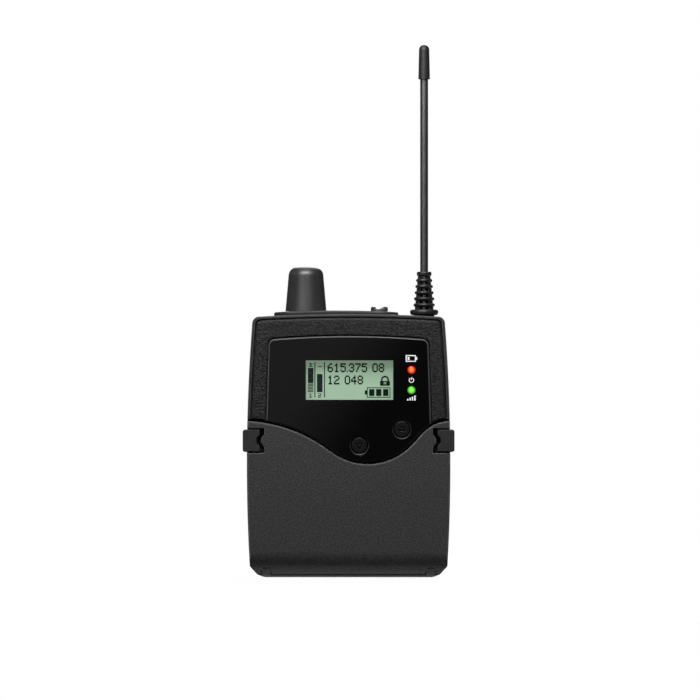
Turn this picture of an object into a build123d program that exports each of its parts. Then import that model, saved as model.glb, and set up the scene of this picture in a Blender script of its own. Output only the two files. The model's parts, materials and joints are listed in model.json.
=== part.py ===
from build123d import *
import math
import os

os.makedirs("parts", exist_ok=True)

# Body-worn wireless receiver. Millimetres. +X is the right-hand side of the unit seen from the front,
# the front faces -Y, +Z is up. The origin is the centre of the housing's flat bottom face.

# ---- overall housing -------------------------------------------------------------------------
cover_side_edge_height = 49.28        # upper edge of the battery cover where it meets the sides
control_face_height = 32.72           # from there up to the top corners of the side walls
body_height = cover_side_edge_height + control_face_height
body_crown = 0.9                      # rise of the top edge at its middle
body_width = 64.0                     # the sides swell to this a little below the middle
side_swell_top = 1.85                 # how far each side falls in at the top
side_swell_bottom = 0.9               # and at the bottom
widest_height = cover_side_edge_height - 13.78
body_depth = 24.0
front_y = -body_depth / 2
back_y = body_depth / 2
half_width = body_width / 2
half_width_top = half_width - side_swell_top
half_width_bottom = half_width - side_swell_bottom
top_corner_radius = 2.2
bottom_corner_run = 4.9               # the bottom corners are cut in two steps: a shallow one
bottom_corner_mid_run = 2.4
bottom_corner_mid_rise = 0.9
bottom_corner_rise = 3.6              # and a steep one up to here
bottom_corner_radius = 0.8            # rounds the corners of the cut
back_edge_radius = 2.0
wall = 1.5                            # wall of the housing and of the battery cover
fit_clearance = 0.05                  # radial play of round pieces in their holes
inner_back_y = back_y - wall
inner_top_z = body_height + body_crown - wall

# ---- battery cover ---------------------------------------------------------------------------
cover_depth = 5.5
cover_back_y = front_y + cover_depth
parting_gap = 0.1
parting_y = cover_back_y + parting_gap  # front edge of the housing's side walls beside the cover
cover_edge_radius = 0.9
cover_bottom_radius = 8.0             # large rounding from the front down to the foot
cover_valley_x = half_width - 23.07    # corner points of the wave in the cover's upper edge
cover_valley_depth = 19.48
cover_valley_z = cover_side_edge_height - cover_valley_depth
cover_shoulder_left_x = 12.24 - half_width
cover_shoulder_right_x = half_width - 5.18
cover_wave_radii = (45.3, 19.0, 11.95)
cover_wave_bevel = 0.35
cover_panel_gap = 0.63                # gap between the cover's wave edge and the panel

# ---- rim of the housing round the bezel ------------------------------------------------------
rim_front_y = front_y + 1.1
rim_thickness = 0.8
rim_edge_radius = 0.45
bezel_gap = 0.42                      # shadow gap between the rim and the bezel
bezel_inset = rim_thickness + bezel_gap

# ---- cover hinge -----------------------------------------------------------------------------
hinge_y = front_y + 3.8
hinge_z = 3.0
hinge_barrel_radius = 1.9
hinge_pocket_radius = 2.25
hinge_pin_radius = 0.75
ear_inner_x = half_width_bottom - 6.6
ear_thickness = 2.8
ear_side_gap = 0.3
ear_middle_x = ear_inner_x + ear_thickness / 2
hinge_pin_length = 6.4
foot_front_y = hinge_y + 1.1          # front edge of the housing's foot below the barrel
ear_neck_depth = 1.8
ear_neck_y = hinge_y + 1.3
ear_neck_height = 2.6

# ---- cover catches ---------------------------------------------------------------------------
catch_height = 7.05
catch_z_high = cover_side_edge_height - 2.68
catch_z_low = catch_z_high - catch_height
catch_middle_z = (catch_z_low + catch_z_high) / 2
catch_gap = 0.42                      # clearance above and below each catch
catch_outer_x = half_width + 1.3
catch_inner_x = catch_outer_x - 5.35
catch_front_y = front_y + 0.15
catch_back_y = front_y + 4.25
catch_corner_radius = 0.8
catch_bevel = 0.25
catch_travel = 1.2
catch_recess_inner_x = catch_inner_x - catch_travel - 0.25
catch_recess_floor_y = catch_back_y + 0.1
catch_boss_back_y = cover_back_y - 0.1
catch_boss_inner_x = catch_recess_inner_x - 1.3
catch_boss_margin = 1.1
catch_wave_depth = 0.98
catch_wave_half_height = 1.8
catch_wave_flat = 0.72                # half height of the deepest part, before its rounding
catch_wave_radius = 1.4
catch_nose_x = half_width - 2.2       # two straight noses behind each catch, beside the housing wall
catch_nose_thickness = 1.0
catch_nose_height = 1.4
catch_nose_rise = 2.6                 # each nose sits this far above or below the catch's middle
catch_nose_tip_y = catch_back_y + 3.15
catch_spring_y = (catch_front_y + catch_back_y) / 2
catch_spring_hole_radius = 1.3
catch_spring_hole_end_x = catch_outer_x - 1.1
catch_spring_radius = 0.9
catch_spring_wire_radius = 0.2
catch_spring_pitch = 0.75

# ---- front bezel -----------------------------------------------------------------------------
bezel_back_y = front_y + 2.4
bezel_shelf_y = front_y + 1.4         # face the panel is glued on
bezel_edge_radius = 0.8
bezel_post_radius = 2.0
bezel_post_x = half_width_top - 4.25

# ---- control panel ---------------------------------------------------------------------------
panel_top_z = body_height - 6.0
panel_crown = 1.1
panel_top_side_z = panel_top_z - panel_crown
panel_half_width_top = half_width_top - 5.1
panel_half_width_low = half_width - 5.46
panel_low_z = 30.0                    # the sides are drawn down to here, then cut by the wave edge
panel_corner_radius = 2.0
panel_gap = 0.5                       # gap between the panel and the bezel
panel_front_y = front_y + 0.05
panel_bevel = 0.4
bezel_post_z = panel_top_z - 10.0

window_width = 27.44
window_height = 12.37
window_x = 0.28
window_z = panel_top_z - 13.855
window_fit = 0.02
window_back_y = panel_front_y + 1.05

# ---- main board place, which other pieces reach to -------------------------------------------
main_board_thickness = 1.0
main_board_post_height = 2.5
main_board_back_y = inner_back_y - main_board_post_height
main_board_front_y = main_board_back_y - main_board_thickness

# ---- front circuit board ---------------------------------------------------------------------
front_boss_height = 2.1
front_board_front_y = bezel_back_y + front_boss_height
front_board_thickness = 0.8
front_board_back_y = front_board_front_y + front_board_thickness
front_board_half_width = bezel_post_x - bezel_post_radius - 0.5
front_board_high_z = panel_top_z + 1.0
front_screw_x = front_board_half_width - 2.0
front_screw_high_z = front_board_high_z - 3.0
front_screw_low_z = cover_side_edge_height + 2.2
front_screw_points = [
    (-front_screw_x, front_screw_high_z),
    (front_screw_x, front_screw_high_z),
    (-front_screw_x, front_screw_low_z),
    (front_screw_x, front_screw_low_z),
]
front_screw_radius = 0.7
front_screw_head_radius = 1.3
front_screw_head_height = 0.7
front_boss_radius = 1.6
front_screw_tip_y = bezel_back_y + 0.3
switch_size = 3.4
switch_height = 0.6
switch_plunger_radius = 0.7
switch_plunger_height = 0.2

# ---- display ---------------------------------------------------------------------------------
gasket_thickness = 0.6
display_width = 33.0
display_height = 17.5
display_front_y = bezel_back_y + gasket_thickness
display_glass_thickness = 0.8
display_glass_margin = 1.0
display_low_z = window_z - display_height / 2
display_flex_width = 10.0
display_flex_length = 2.2
display_flex_thickness = 0.15
display_plug_width = 12.0
display_plug_length = 1.6
display_plug_height = 0.9

# ---- lamps and buttons -----------------------------------------------------------------------
lamp_x = window_x + 19.47
red_lamp_z = window_z + 3.21
green_lamp_z = window_z - 3.15
lamp_radius = 1.25
lamp_hole_radius = 1.33
lamp_front_y = front_y + 0.15
lamp_dome_radius = 0.6
lamp_flange_radius = 1.6
lamp_flange_front_y = bezel_back_y + 0.2
lamp_shelf_hole_radius = 1.65

up_button_x = cover_valley_x + 7.82
up_button_z = cover_side_edge_height - 2.62
down_button_x = cover_valley_x - 5.54
down_button_z = cover_side_edge_height - 7.68
button_radius = 2.5
button_hole_radius = 2.75
button_rim_chamfer = 0.3              # chamfered rim of each button hole in the panel
button_flange_radius = 3.1
button_flange_thickness = 0.8
button_front_y = front_y + 0.15
button_flange_front_y = bezel_shelf_y + 0.1
button_flange_back_y = button_flange_front_y + button_flange_thickness
button_travel = 0.4
button_stem_radius = 1.1
button_stem_back_y = (
    front_board_front_y - switch_height - switch_plunger_height - button_travel - fit_clearance
)
button_edge_radius = 0.25
button_shelf_hole_radius = 3.4
triangle_radius = 1.3
triangle_line = 0.28
triangle_depth = 0.18

infrared_x = -15.0
infrared_z = cover_side_edge_height + 1.72
infrared_radius = 1.3
infrared_hole_radius = 1.8
infrared_body_height = 1.1

# ---- battery compartment ---------------------------------------------------------------------
cell_radius = 7.25
cell_length = 50.5
cell_nub_radius = 2.75
cell_nub_length = 1.0
cell_edge_radius = 0.5
cell_shift = 0.75                     # each cell sits this far towards its positive end
cell_front_gap = 0.35
cell_floor_gap = 0.25
cell_hinge_gap = 0.28                 # between the lower cell and the cover's hinge barrel
cell_pitch_gap = 0.45
tray_wall = 1.2
tray_low_z = wall
cell_y = front_y + wall + cell_front_gap + cell_radius
cell_hinge_distance = cell_radius + cell_hinge_gap + hinge_barrel_radius
lower_cell_z = hinge_z + math.sqrt(cell_hinge_distance**2 - (cell_y - hinge_y) ** 2)
upper_cell_z = lower_cell_z + 2 * cell_radius + cell_pitch_gap
tray_inner_half_width = cell_length / 2 + 1.75
tray_outer_half_width = tray_inner_half_width + tray_wall
tray_floor_y = cell_y + cell_radius + cell_floor_gap
tray_high_z = upper_cell_z + cell_radius + 0.4 + tray_wall
tray_front_y = hinge_y + hinge_pocket_radius + fit_clearance
tray_corner_radius = 3.0
tray_rib_depth = 2.0
tray_rib_height = 2.2
apron_front_y = front_y + wall + 0.5  # plate above the cells, seen when the cover is open
apron_thickness = 0.8
apron_half_width = catch_boss_inner_x - 0.8
apron_wave_gap = 0.5
contact_plate = 0.3
contact_height = 9.0
contact_low_y = tray_front_y + 0.2
contact_high_y = cell_y + 3.8
contact_bump_radius = 2.4
contact_spring_wire_radius = 0.25
contact_spring_radius = 3.0
contact_spring_pitch = 0.9
front_board_low_z = tray_high_z + 1.8

set_button_x = -17.5
set_button_z = tray_high_z + 5.4
set_button_radius = 1.8
set_button_hole_radius = 2.1
set_button_flange_radius = 2.5
set_button_flange_front_y = apron_front_y + apron_thickness + fit_clearance
set_button_flange_back_y = set_button_flange_front_y + 0.3

# ---- main circuit board and screws -----------------------------------------------------------
main_board_half_width = bezel_post_x + 2.3
main_board_low_z = 4.0
main_board_high_z = body_height - 4.0
board_corner_radius = 1.5
screw_post_radius = 2.2
screw_radius = 0.95
screw_hole_radius = 1.15
screw_head_radius = 1.9
screw_head_height = 1.1
screw_recess_radius = 0.55
screw_recess_depth = 0.6
lower_screw_x = tray_inner_half_width - 2.4
lower_screw_z = 7.2
lower_screw_tip_y = tray_floor_y + 0.3
upper_screw_tip_y = main_board_front_y - 6.0
shield_wall = 0.25
shield_depth = 3.2
shield_width = 18.0
shield_height = 18.0
left_shield_x = -15.0
left_shield_z = tray_high_z + 15.4
right_shield_x = 11.0
right_shield_z = tray_high_z + 16.9
chip_height = 1.2
radio_chip_size = 9.0
sound_chip_size = 7.0
charge_chip_size = 6.0
header_x = 5.0
header_z = tray_high_z + 3.5
header_width = 18.0
header_height = 2.6

# ---- top parts -------------------------------------------------------------------------------
antenna_x = half_width_top - 6.32
deck_left_x = 6.65 - half_width_top
deck_right_x = antenna_x - 8.13
deck_seat_z = body_height - 0.3
deck_top_z = deck_seat_z + 2.35
deck_crown = 0.55
deck_end_z = deck_top_z - deck_crown
deck_half_depth = 8.5
deck_plan_radius = 6.0
deck_edge_radius = 0.6
deck_fit = 0.1

knob_x = deck_left_x + 10.05
knob_height = 14.1
knob_base_z = deck_top_z - 0.25       # the knob's rim sits just inside the spot face of the deck
knob_top_z = knob_base_z + knob_height
knob_base_radius = 6.48
knob_top_radius = 5.3
knob_shoulder_z = knob_top_z - 0.5
knob_edge_radius = 2.75
knob_recess_radius = 5.35
knob_recess_depth = 2.2
pot_body_size = 11.0
pot_body_height = 7.0
pot_body_high_z = inner_top_z - 0.5
pot_body_low_z = pot_body_high_z - pot_body_height
pot_shaft_radius = 2.0
pot_shaft_low_z = pot_body_low_z + 1.6
pot_shaft_high_z = knob_top_z - 2.7
pot_flat_depth = 0.5
pot_spot_z = deck_top_z - 0.45        # flat spot face the nut sits on
pot_spot_radius = knob_base_radius + 0.3
pot_nut_across_flats = 8.5
pot_nut_height = 1.7
pot_bushing_radius = 3.4
pot_bushing_top_z = pot_spot_z + 1.4

jack_x = deck_right_x - 6.0
jack_bore_radius = 1.8
jack_bore_depth = 14.0
jack_collar_radius = 2.7
jack_flange_z = deck_top_z - 0.3
jack_collar_top_z = jack_flange_z + 1.65
jack_collar_edge_radius = 0.75
jack_neck_radius = 2.45
jack_socket_top_z = inner_top_z - 0.5
jack_neck_low_z = jack_socket_top_z - 2.0
jack_socket_height = 15.4
jack_socket_low_z = jack_socket_top_z - jack_socket_height
jack_socket_width = 8.0
jack_socket_half_depth = 4.5
terminal_width = 0.8
terminal_thickness = 0.4

antenna_seat_z = body_height + 0.6
antenna_top_z = antenna_seat_z + 85.3
antenna_rod_radius = 1.25
antenna_rod_high_z = antenna_top_z - 2.9
antenna_cap_low_z = antenna_top_z - 10.9
antenna_cap_low_radius = 1.83
antenna_cap_high_radius = 1.63
antenna_base_radius = 3.25
antenna_base_height = 8.6
antenna_base_low_z = antenna_seat_z - antenna_base_height
antenna_rod_low_z = antenna_base_low_z + 1.5
boot_flange_radius = 4.45
boot_flange_top_z = antenna_seat_z + 1.8
boot_flange_edge_radius = 0.75
boot_ring_rises = (3.2, 5.13, 7.05, 9.0, 10.9)
boot_ring_radii = (3.37, 3.22, 2.99, 2.77, 2.57)
boot_ring_thickness = 1.1
boot_ring_edge_radius = 0.5
boot_sleeve_low_radius = 2.97
boot_sleeve_high_radius = 1.93
boot_core_radius = 1.6               # tube left closed behind the windows
boot_web_thickness = 0.8              # web left standing between the two windows of a row
boot_window_height = 0.9
boot_window_low_width = 1.0
boot_window_high_width = 0.65
boot_top_ring_z = antenna_seat_z + 13.0
boot_top_ring_radius = 2.32
boot_top_ring_height = 1.5
boot_top_ring_edge_radius = 0.5

# ---- belt clip -------------------------------------------------------------------------------
clip_wire_radius = 1.0
clip_pivot_y = back_y - 8.0
clip_pivot_z = 43.0
clip_leg_x = half_width - 0.05
clip_end_x = clip_leg_x - 2.45
clip_hole_clearance = 0.1
clip_hole_end_x = clip_end_x - 0.3
clip_groove_x = clip_leg_x - 1.2
clip_groove_gap = 0.3
clip_opening_angle = 12.0
clip_back_y = back_y + 5.6            # plane of the tongue behind the housing
clip_tongue_half_width = 13.0
clip_tongue_low_z = 14.0
clip_toe_half_width = 10.0
clip_toe_y = back_y + 1.5
clip_toe_z = 7.5
clip_end_bend_radius = 1.3
clip_bend_radius = 2.5
clip_pad_inner_x = clip_leg_x - 3.35
clip_pad_outer_x = half_width - wall / 2
clip_pad_low_z = clip_pivot_z - 3.5
clip_pad_high_z = clip_pivot_z + 5.5
clip_pad_front_y = clip_pivot_y - 3.0

# ---- small items -----------------------------------------------------------------------------
charge_contact_radius = 1.0
charge_contact_pitch = 6.0
charge_contact_y = main_board_back_y + charge_contact_radius
charge_contact_high_z = main_board_low_z + 0.6
label_width = 30.0
label_height = 16.0
label_z = body_height - 18.0
label_depth = 0.15

far = 2 * body_width                  # reach of cutting shapes beyond the part


def facing_front(depth_y):
    """Sketch plane at the given depth, drawn in X and Z, extruding towards the front."""
    return Plane.XZ.offset(-depth_y)


def body_outline(inset=0.0):
    """Front-view outline of the housing: swollen sides, crowned top, cut bottom corners."""
    # the points of the cut move in by shares of the inset that keep the wall even there
    bottom = (half_width_bottom - inset, bottom_corner_rise + inset / 3)
    middle = (half_width - inset, widest_height)
    top = (half_width_top - inset, body_height - inset)
    cut = (
        half_width_bottom - bottom_corner_mid_run - 0.7 * inset,
        bottom_corner_mid_rise + 0.8 * inset,
    )
    foot = (half_width_bottom - bottom_corner_run - inset / 5, inset)
    with BuildLine() as border:
        ThreePointArc(bottom, middle, top)
        ThreePointArc(top, (0, body_height + body_crown - inset), (-top[0], top[1]))
        ThreePointArc((-top[0], top[1]), (-middle[0], middle[1]), (-bottom[0], bottom[1]))
        Polyline((-bottom[0], bottom[1]), (-cut[0], cut[1]), (-foot[0], foot[1]), foot, cut, bottom)
    make_face(border.edges())
    corners = BuildSketch._get_context().vertices().sort_by(Axis.Y)
    fillet(corners[-2:], radius=top_corner_radius - inset / 2)
    corners = BuildSketch._get_context().vertices().sort_by(Axis.Y)
    fillet(corners[:6], radius=bottom_corner_radius)


def wave_line(rise):
    """The wave of the cover's upper edge, moved up square to itself by the given amount."""
    corners = [
        Vector(-far, cover_side_edge_height),
        Vector(cover_shoulder_left_x, cover_side_edge_height),
        Vector(cover_valley_x, cover_valley_z),
        Vector(cover_shoulder_right_x, cover_side_edge_height),
        Vector(far, cover_side_edge_height),
    ]
    directions = [(end - start).normalized() for start, end in zip(corners, corners[1:])]
    normals = [Vector(-direction.Y, direction.X) for direction in directions]
    moved = [corners[0] + normals[0] * rise]
    for corner, before, after in zip(corners[1:], normals, normals[1:]):
        moved.append(corner + (before + after) * (rise / (1 + before.dot(after))))
    moved.append(corners[-1] + normals[-1] * rise)
    turns = (1, -1, 1)
    radii = [radius + turn * rise for radius, turn in zip(cover_wave_radii, turns)]
    return FilletPolyline(*moved, radius=radii)


def above_wave(gap):
    """Keep the area above the cover's wave edge, raised by a gap."""
    with BuildLine() as border:
        wave = wave_line(gap)
        Polyline(wave @ 1, (far, 2 * body_height), (-far, 2 * body_height), wave @ 0)
    make_face(border.edges(), mode=Mode.INTERSECT)


def below_wave(gap):
    """Keep the area below the cover's wave edge, lowered by a gap."""
    with BuildLine() as border:
        wave = wave_line(-gap)
        Polyline(wave @ 1, (far, -far), (-far, -far), wave @ 0)
    make_face(border.edges(), mode=Mode.INTERSECT)


def panel_outline(grow=0.0):
    """Front-view outline of the control panel before its lower wave edge is cut."""
    top_side = (panel_half_width_top + grow, panel_top_side_z + grow)
    low_side = (panel_half_width_low + grow, panel_low_z)
    with BuildLine() as border:
        ThreePointArc((-top_side[0], top_side[1]), (0, panel_top_z + grow), top_side)
        Polyline(top_side, low_side, (-low_side[0], low_side[1]), (-top_side[0], top_side[1]))
    make_face(border.edges())
    corners = BuildSketch._get_context().vertices().sort_by(Axis.Y)
    fillet(corners[-2:], radius=panel_corner_radius + grow)


def cover_side_section(inset=0.0, mode=Mode.ADD):
    """Side-view section of the front of the unit: straight front, large rounding into the foot."""
    centre = (front_y + cover_bottom_radius, cover_bottom_radius)
    with BuildLine() as border:
        rounding = CenterArc(centre, cover_bottom_radius - inset, 180, 90)
        Polyline(
            rounding @ 1,
            (far, inset),
            (far, 2 * body_height),
            (front_y + inset, 2 * body_height),
            rounding @ 0,
        )
    make_face(border.edges(), mode=mode)


def catch_edge(x, depth):
    """Upright edge with a rounded wave half way up, pointing to +X."""
    return FilletPolyline(
        (x, catch_z_low - catch_gap),
        (x, catch_middle_z - catch_wave_half_height),
        (x + depth, catch_middle_z - catch_wave_flat),
        (x + depth, catch_middle_z + catch_wave_flat),
        (x, catch_middle_z + catch_wave_half_height),
        (x, catch_z_high + catch_gap),
        radius=catch_wave_radius,
    )


def catch_area(x, depth, outer_x):
    """Front-view area from a waved inner edge out to the given X."""
    with BuildLine() as border:
        inner = catch_edge(x, depth)
        Polyline(
            inner @ 1,
            (outer_x, catch_z_high + catch_gap),
            (outer_x, catch_z_low - catch_gap),
            inner @ 0,
        )
    make_face(border.edges())


def along_x(x, y, z):
    """Location whose own Z axis runs along X."""
    return Location((x, y, z), (0, 90, 0))


screw_places = [
    (-lower_screw_x, lower_screw_z, lower_screw_tip_y),
    (lower_screw_x, lower_screw_z, lower_screw_tip_y),
    (-bezel_post_x, bezel_post_z, upper_screw_tip_y),
    (bezel_post_x, bezel_post_z, upper_screw_tip_y),
]
screw_points = [(x, z) for x, z, tip in screw_places]

# ---- rear housing ----------------------------------------------------------------------------
with BuildPart() as rear_housing:
    with BuildSketch(facing_front(back_y)):
        body_outline()
    extrude(amount=back_y - rim_front_y)
    fillet(rear_housing.edges().group_by(Axis.Y)[-1], radius=back_edge_radius)
    fillet(rear_housing.edges().group_by(Axis.Y)[0], radius=rim_edge_radius)
    # large rounding from the front into the foot
    with BuildSketch(Plane.YZ):
        cover_side_section()
    extrude(amount=far, both=True, mode=Mode.INTERSECT)
    # the space the cover closes, down to the foot
    with BuildSketch(facing_front(parting_y)):
        with Locations((0, (cover_side_edge_height + cover_panel_gap + hinge_z) / 2)):
            Rectangle(2 * far, cover_side_edge_height + cover_panel_gap - hinge_z)
    extrude(amount=far, mode=Mode.SUBTRACT)
    # inside: the main space, then the wider opening the bezel sits in
    with BuildSketch(facing_front(inner_back_y)):
        body_outline(wall)
    extrude(amount=inner_back_y - bezel_back_y, mode=Mode.SUBTRACT)
    with BuildSketch(facing_front(bezel_back_y)):
        body_outline(rim_thickness)
        Rectangle(2 * far, 2 * (cover_side_edge_height - cover_panel_gap), mode=Mode.SUBTRACT)
    extrude(amount=far, mode=Mode.SUBTRACT)
    # round pocket the cover's hinge barrel turns in, with the foot cut square in front of it
    with BuildSketch(Plane.YZ):
        with Locations((hinge_y, hinge_z)):
            Circle(hinge_pocket_radius)
        with Locations((foot_front_y - far / 2, hinge_z - far / 2)):
            Rectangle(far, far)
    extrude(amount=far, both=True, mode=Mode.SUBTRACT)
    # hinge ears rising from the foot, pierced for the pins
    for side in (-1, 1):
        with BuildSketch(Plane.YZ.offset(side * ear_middle_x)):
            with Locations((hinge_y, hinge_z)):
                Circle(hinge_barrel_radius)
            with Locations((ear_neck_y, ear_neck_height / 2)):
                Rectangle(ear_neck_depth, ear_neck_height)
            cover_side_section(mode=Mode.INTERSECT)
        extrude(amount=ear_thickness / 2, both=True)
    with Locations(along_x(0, hinge_y, hinge_z)):
        Cylinder(hinge_pin_radius, 2 * (ear_inner_x + ear_thickness), mode=Mode.SUBTRACT)
    # posts for the main board and the holes of the case screws
    with BuildSketch(facing_front(inner_back_y)):
        with Locations(screw_points):
            Circle(screw_post_radius)
    extrude(amount=inner_back_y - main_board_back_y)
    with BuildSketch(facing_front(back_y)):
        with Locations(screw_points):
            Circle(screw_hole_radius)
    extrude(amount=back_y - main_board_back_y, mode=Mode.SUBTRACT)
    for x, z in screw_points:
        with Locations(Location((x, back_y - screw_head_height / 2, z), (90, 0, 0))):
            Cone(screw_head_radius, screw_hole_radius, screw_head_height, mode=Mode.SUBTRACT)
    # thickened pads inside the side walls, then the fan-shaped grooves and holes of the clip
    for side in (-1, 1):
        with Locations(
            (
                side * (clip_pad_inner_x + clip_pad_outer_x) / 2,
                (clip_pad_front_y + inner_back_y) / 2,
                (clip_pad_low_z + clip_pad_high_z) / 2,
            )
        ):
            Box(
                clip_pad_outer_x - clip_pad_inner_x,
                inner_back_y - clip_pad_front_y,
                clip_pad_high_z - clip_pad_low_z,
            )
        with BuildSketch(Plane.YZ.offset(side * far)):
            groove_half = clip_wire_radius + clip_groove_gap
            fan_rise = (back_y + 1 - clip_pivot_y) * math.tan(math.radians(clip_opening_angle))
            with BuildLine():
                Polyline(
                    (clip_pivot_y - groove_half, clip_pivot_z - groove_half),
                    (back_y + 1, clip_pivot_z - groove_half),
                    (back_y + 1, clip_pivot_z + groove_half + fan_rise),
                    (clip_pivot_y, clip_pivot_z + groove_half),
                    (clip_pivot_y - groove_half, clip_pivot_z + groove_half),
                    close=True,
                )
            make_face()
        extrude(amount=-side * (far - clip_groove_x), mode=Mode.SUBTRACT)
        with Locations(along_x(side * (clip_hole_end_x + far) / 2, clip_pivot_y, clip_pivot_z)):
            Cylinder(
                clip_wire_radius + clip_hole_clearance, far - clip_hole_end_x, mode=Mode.SUBTRACT
            )
    # seat of the top deck and the holes below the knob, the jack and the antenna
    with BuildSketch(Plane.XY.offset(deck_seat_z)):
        with Locations(((deck_left_x + deck_right_x) / 2, 0)):
            RectangleRounded(
                deck_right_x - deck_left_x + 2 * deck_fit,
                2 * (deck_half_depth + deck_fit),
                deck_plan_radius + deck_fit,
            )
    extrude(amount=body_height, mode=Mode.SUBTRACT)
    for x, radius in (
        (knob_x, pot_bushing_radius),
        (jack_x, jack_neck_radius),
        (antenna_x, antenna_base_radius),
    ):
        with Locations((x, 0, body_height)):
            Cylinder(radius + fit_clearance, 4 * wall, mode=Mode.SUBTRACT)
    # holes for the charging contacts
    with Locations((0, charge_contact_y, 0)):
        with GridLocations(charge_contact_pitch, 0, 4, 1):
            Cylinder(charge_contact_radius + fit_clearance, 4 * wall, mode=Mode.SUBTRACT)
    # shallow seat of the rating label
    with Locations((0, back_y, label_z)):
        Box(label_width, 2 * label_depth, label_height, mode=Mode.SUBTRACT)

# ---- battery cover ---------------------------------------------------------------------------
with BuildPart() as cover_hollow:
    with BuildSketch(facing_front(parting_y)):
        body_outline(wall)
    extrude(amount=far)
    with BuildSketch(Plane.YZ):
        cover_side_section(wall)
        with Locations((hinge_y, hinge_z)):
            Circle(hinge_barrel_radius, mode=Mode.SUBTRACT)
    extrude(amount=far, both=True, mode=Mode.INTERSECT)

with BuildPart() as battery_cover:
    with BuildSketch(facing_front(cover_back_y)):
        body_outline()
        below_wave(0)
    extrude(amount=cover_back_y - front_y)
    front_edges = battery_cover.edges().group_by(Axis.Y)[0]
    chamfer(
        front_edges.filter_by(lambda edge: edge.center().Z > cover_valley_z),
        length=cover_wave_bevel,
    )
    side_edges = (
        battery_cover.edges()
        .group_by(Axis.Y)[0]
        .filter_by(lambda edge: abs(edge.center().X) > half_width_top)
        .filter_by(lambda edge: edge.center().Z < cover_valley_z)
    )
    fillet(side_edges, radius=cover_edge_radius)
    # rounded foot end, ending in the hinge barrel
    with BuildSketch(Plane.YZ):
        with Locations((cover_back_y - far / 2, hinge_z + far / 2)):
            Rectangle(far, far)
        with Locations((hinge_y, hinge_z)):
            Circle(hinge_barrel_radius)
        cover_side_section(mode=Mode.INTERSECT)
    extrude(amount=far, both=True, mode=Mode.INTERSECT)
    add(cover_hollow.part, mode=Mode.SUBTRACT)
    # slots for the housing's ears and bores for the pins
    for side in (-1, 1):
        with Locations(along_x(side * ear_middle_x, hinge_y, hinge_z)):
            Cylinder(hinge_pocket_radius, ear_thickness + 2 * ear_side_gap, mode=Mode.SUBTRACT)
            Cylinder(
                hinge_pin_radius + fit_clearance,
                hinge_pin_length + 2 * ear_side_gap,
                mode=Mode.SUBTRACT,
            )
    # solid bosses that carry the catches, with their recesses and the slots for the noses
    boss_outer_x = half_width - wall / 2
    for side in (-1, 1):
        with BuildSketch(facing_front(catch_boss_back_y)):
            with Locations((side * (catch_boss_inner_x + boss_outer_x) / 2, catch_middle_z)):
                Rectangle(
                    boss_outer_x - catch_boss_inner_x,
                    catch_z_high - catch_z_low + 2 * (catch_gap + catch_boss_margin),
                )
            below_wave(catch_gap)
        extrude(amount=catch_boss_back_y - front_y - wall / 2)
        with BuildSketch(facing_front(catch_recess_floor_y)):
            catch_area(catch_recess_inner_x, catch_wave_depth, far)
            if side < 0:
                mirror(about=Plane.YZ, mode=Mode.REPLACE)
        extrude(amount=far, mode=Mode.SUBTRACT)
        nose_play = catch_gap / 2
        slot_x = side * (catch_nose_x - catch_travel / 2)
        with Locations(
            (slot_x, catch_recess_floor_y, catch_middle_z - catch_nose_rise),
            (slot_x, catch_recess_floor_y, catch_middle_z + catch_nose_rise),
        ):
            Box(
                catch_nose_thickness + catch_travel + 2 * nose_play,
                2 * (catch_boss_back_y - catch_recess_floor_y) + 1,
                catch_nose_height + 2 * nose_play,
                mode=Mode.SUBTRACT,
            )

# ---- hinge pins ------------------------------------------------------------------------------
with BuildPart() as hinge_pins:
    for side in (-1, 1):
        with Locations(along_x(side * ear_middle_x, hinge_y, hinge_z)):
            Cylinder(hinge_pin_radius, hinge_pin_length)

# ---- catches of the cover --------------------------------------------------------------------
with BuildPart() as right_catch:
    with BuildSketch(facing_front(catch_back_y)):
        catch_area(catch_inner_x, catch_wave_depth, catch_outer_x)
        with Locations(((catch_inner_x + catch_outer_x) / 2, catch_middle_z)):
            Rectangle(far, catch_z_high - catch_z_low, mode=Mode.INTERSECT)
        fillet(
            BuildSketch._get_context().vertices().group_by(Axis.X)[-1], radius=catch_corner_radius
        )
    extrude(amount=catch_back_y - catch_front_y)
    chamfer(right_catch.edges().group_by(Axis.Y)[0], length=catch_bevel)
    # straight noses reaching back beside the housing wall
    nose_middle_y = (catch_back_y + catch_nose_tip_y) / 2
    with Locations(
        (catch_nose_x, nose_middle_y, catch_middle_z - catch_nose_rise),
        (catch_nose_x, nose_middle_y, catch_middle_z + catch_nose_rise),
    ):
        Box(catch_nose_thickness, catch_nose_tip_y - catch_back_y, catch_nose_height)
    # blind hole for the spring, open towards the middle
    with Locations(along_x(catch_spring_hole_end_x / 2, catch_spring_y, catch_middle_z)):
        Cylinder(catch_spring_hole_radius, catch_spring_hole_end_x, mode=Mode.SUBTRACT)
with BuildPart() as left_catch:
    add(mirror(right_catch.part, about=Plane.YZ, mode=Mode.PRIVATE))

with BuildPart() as right_catch_spring:
    spring_start_x = catch_inner_x + catch_wave_depth + catch_spring_wire_radius
    spring_end_x = catch_spring_hole_end_x - catch_spring_wire_radius
    with BuildLine():
        coil = Helix(
            pitch=catch_spring_pitch,
            height=spring_end_x - spring_start_x,
            radius=catch_spring_radius,
            center=(spring_start_x, catch_spring_y, catch_middle_z),
            direction=(1, 0, 0),
        )
    with BuildSketch(Plane(origin=coil @ 0, z_dir=coil % 0)):
        Circle(catch_spring_wire_radius)
    sweep()
with BuildPart() as left_catch_spring:
    add(mirror(right_catch_spring.part, about=Plane.YZ, mode=Mode.PRIVATE))

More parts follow.
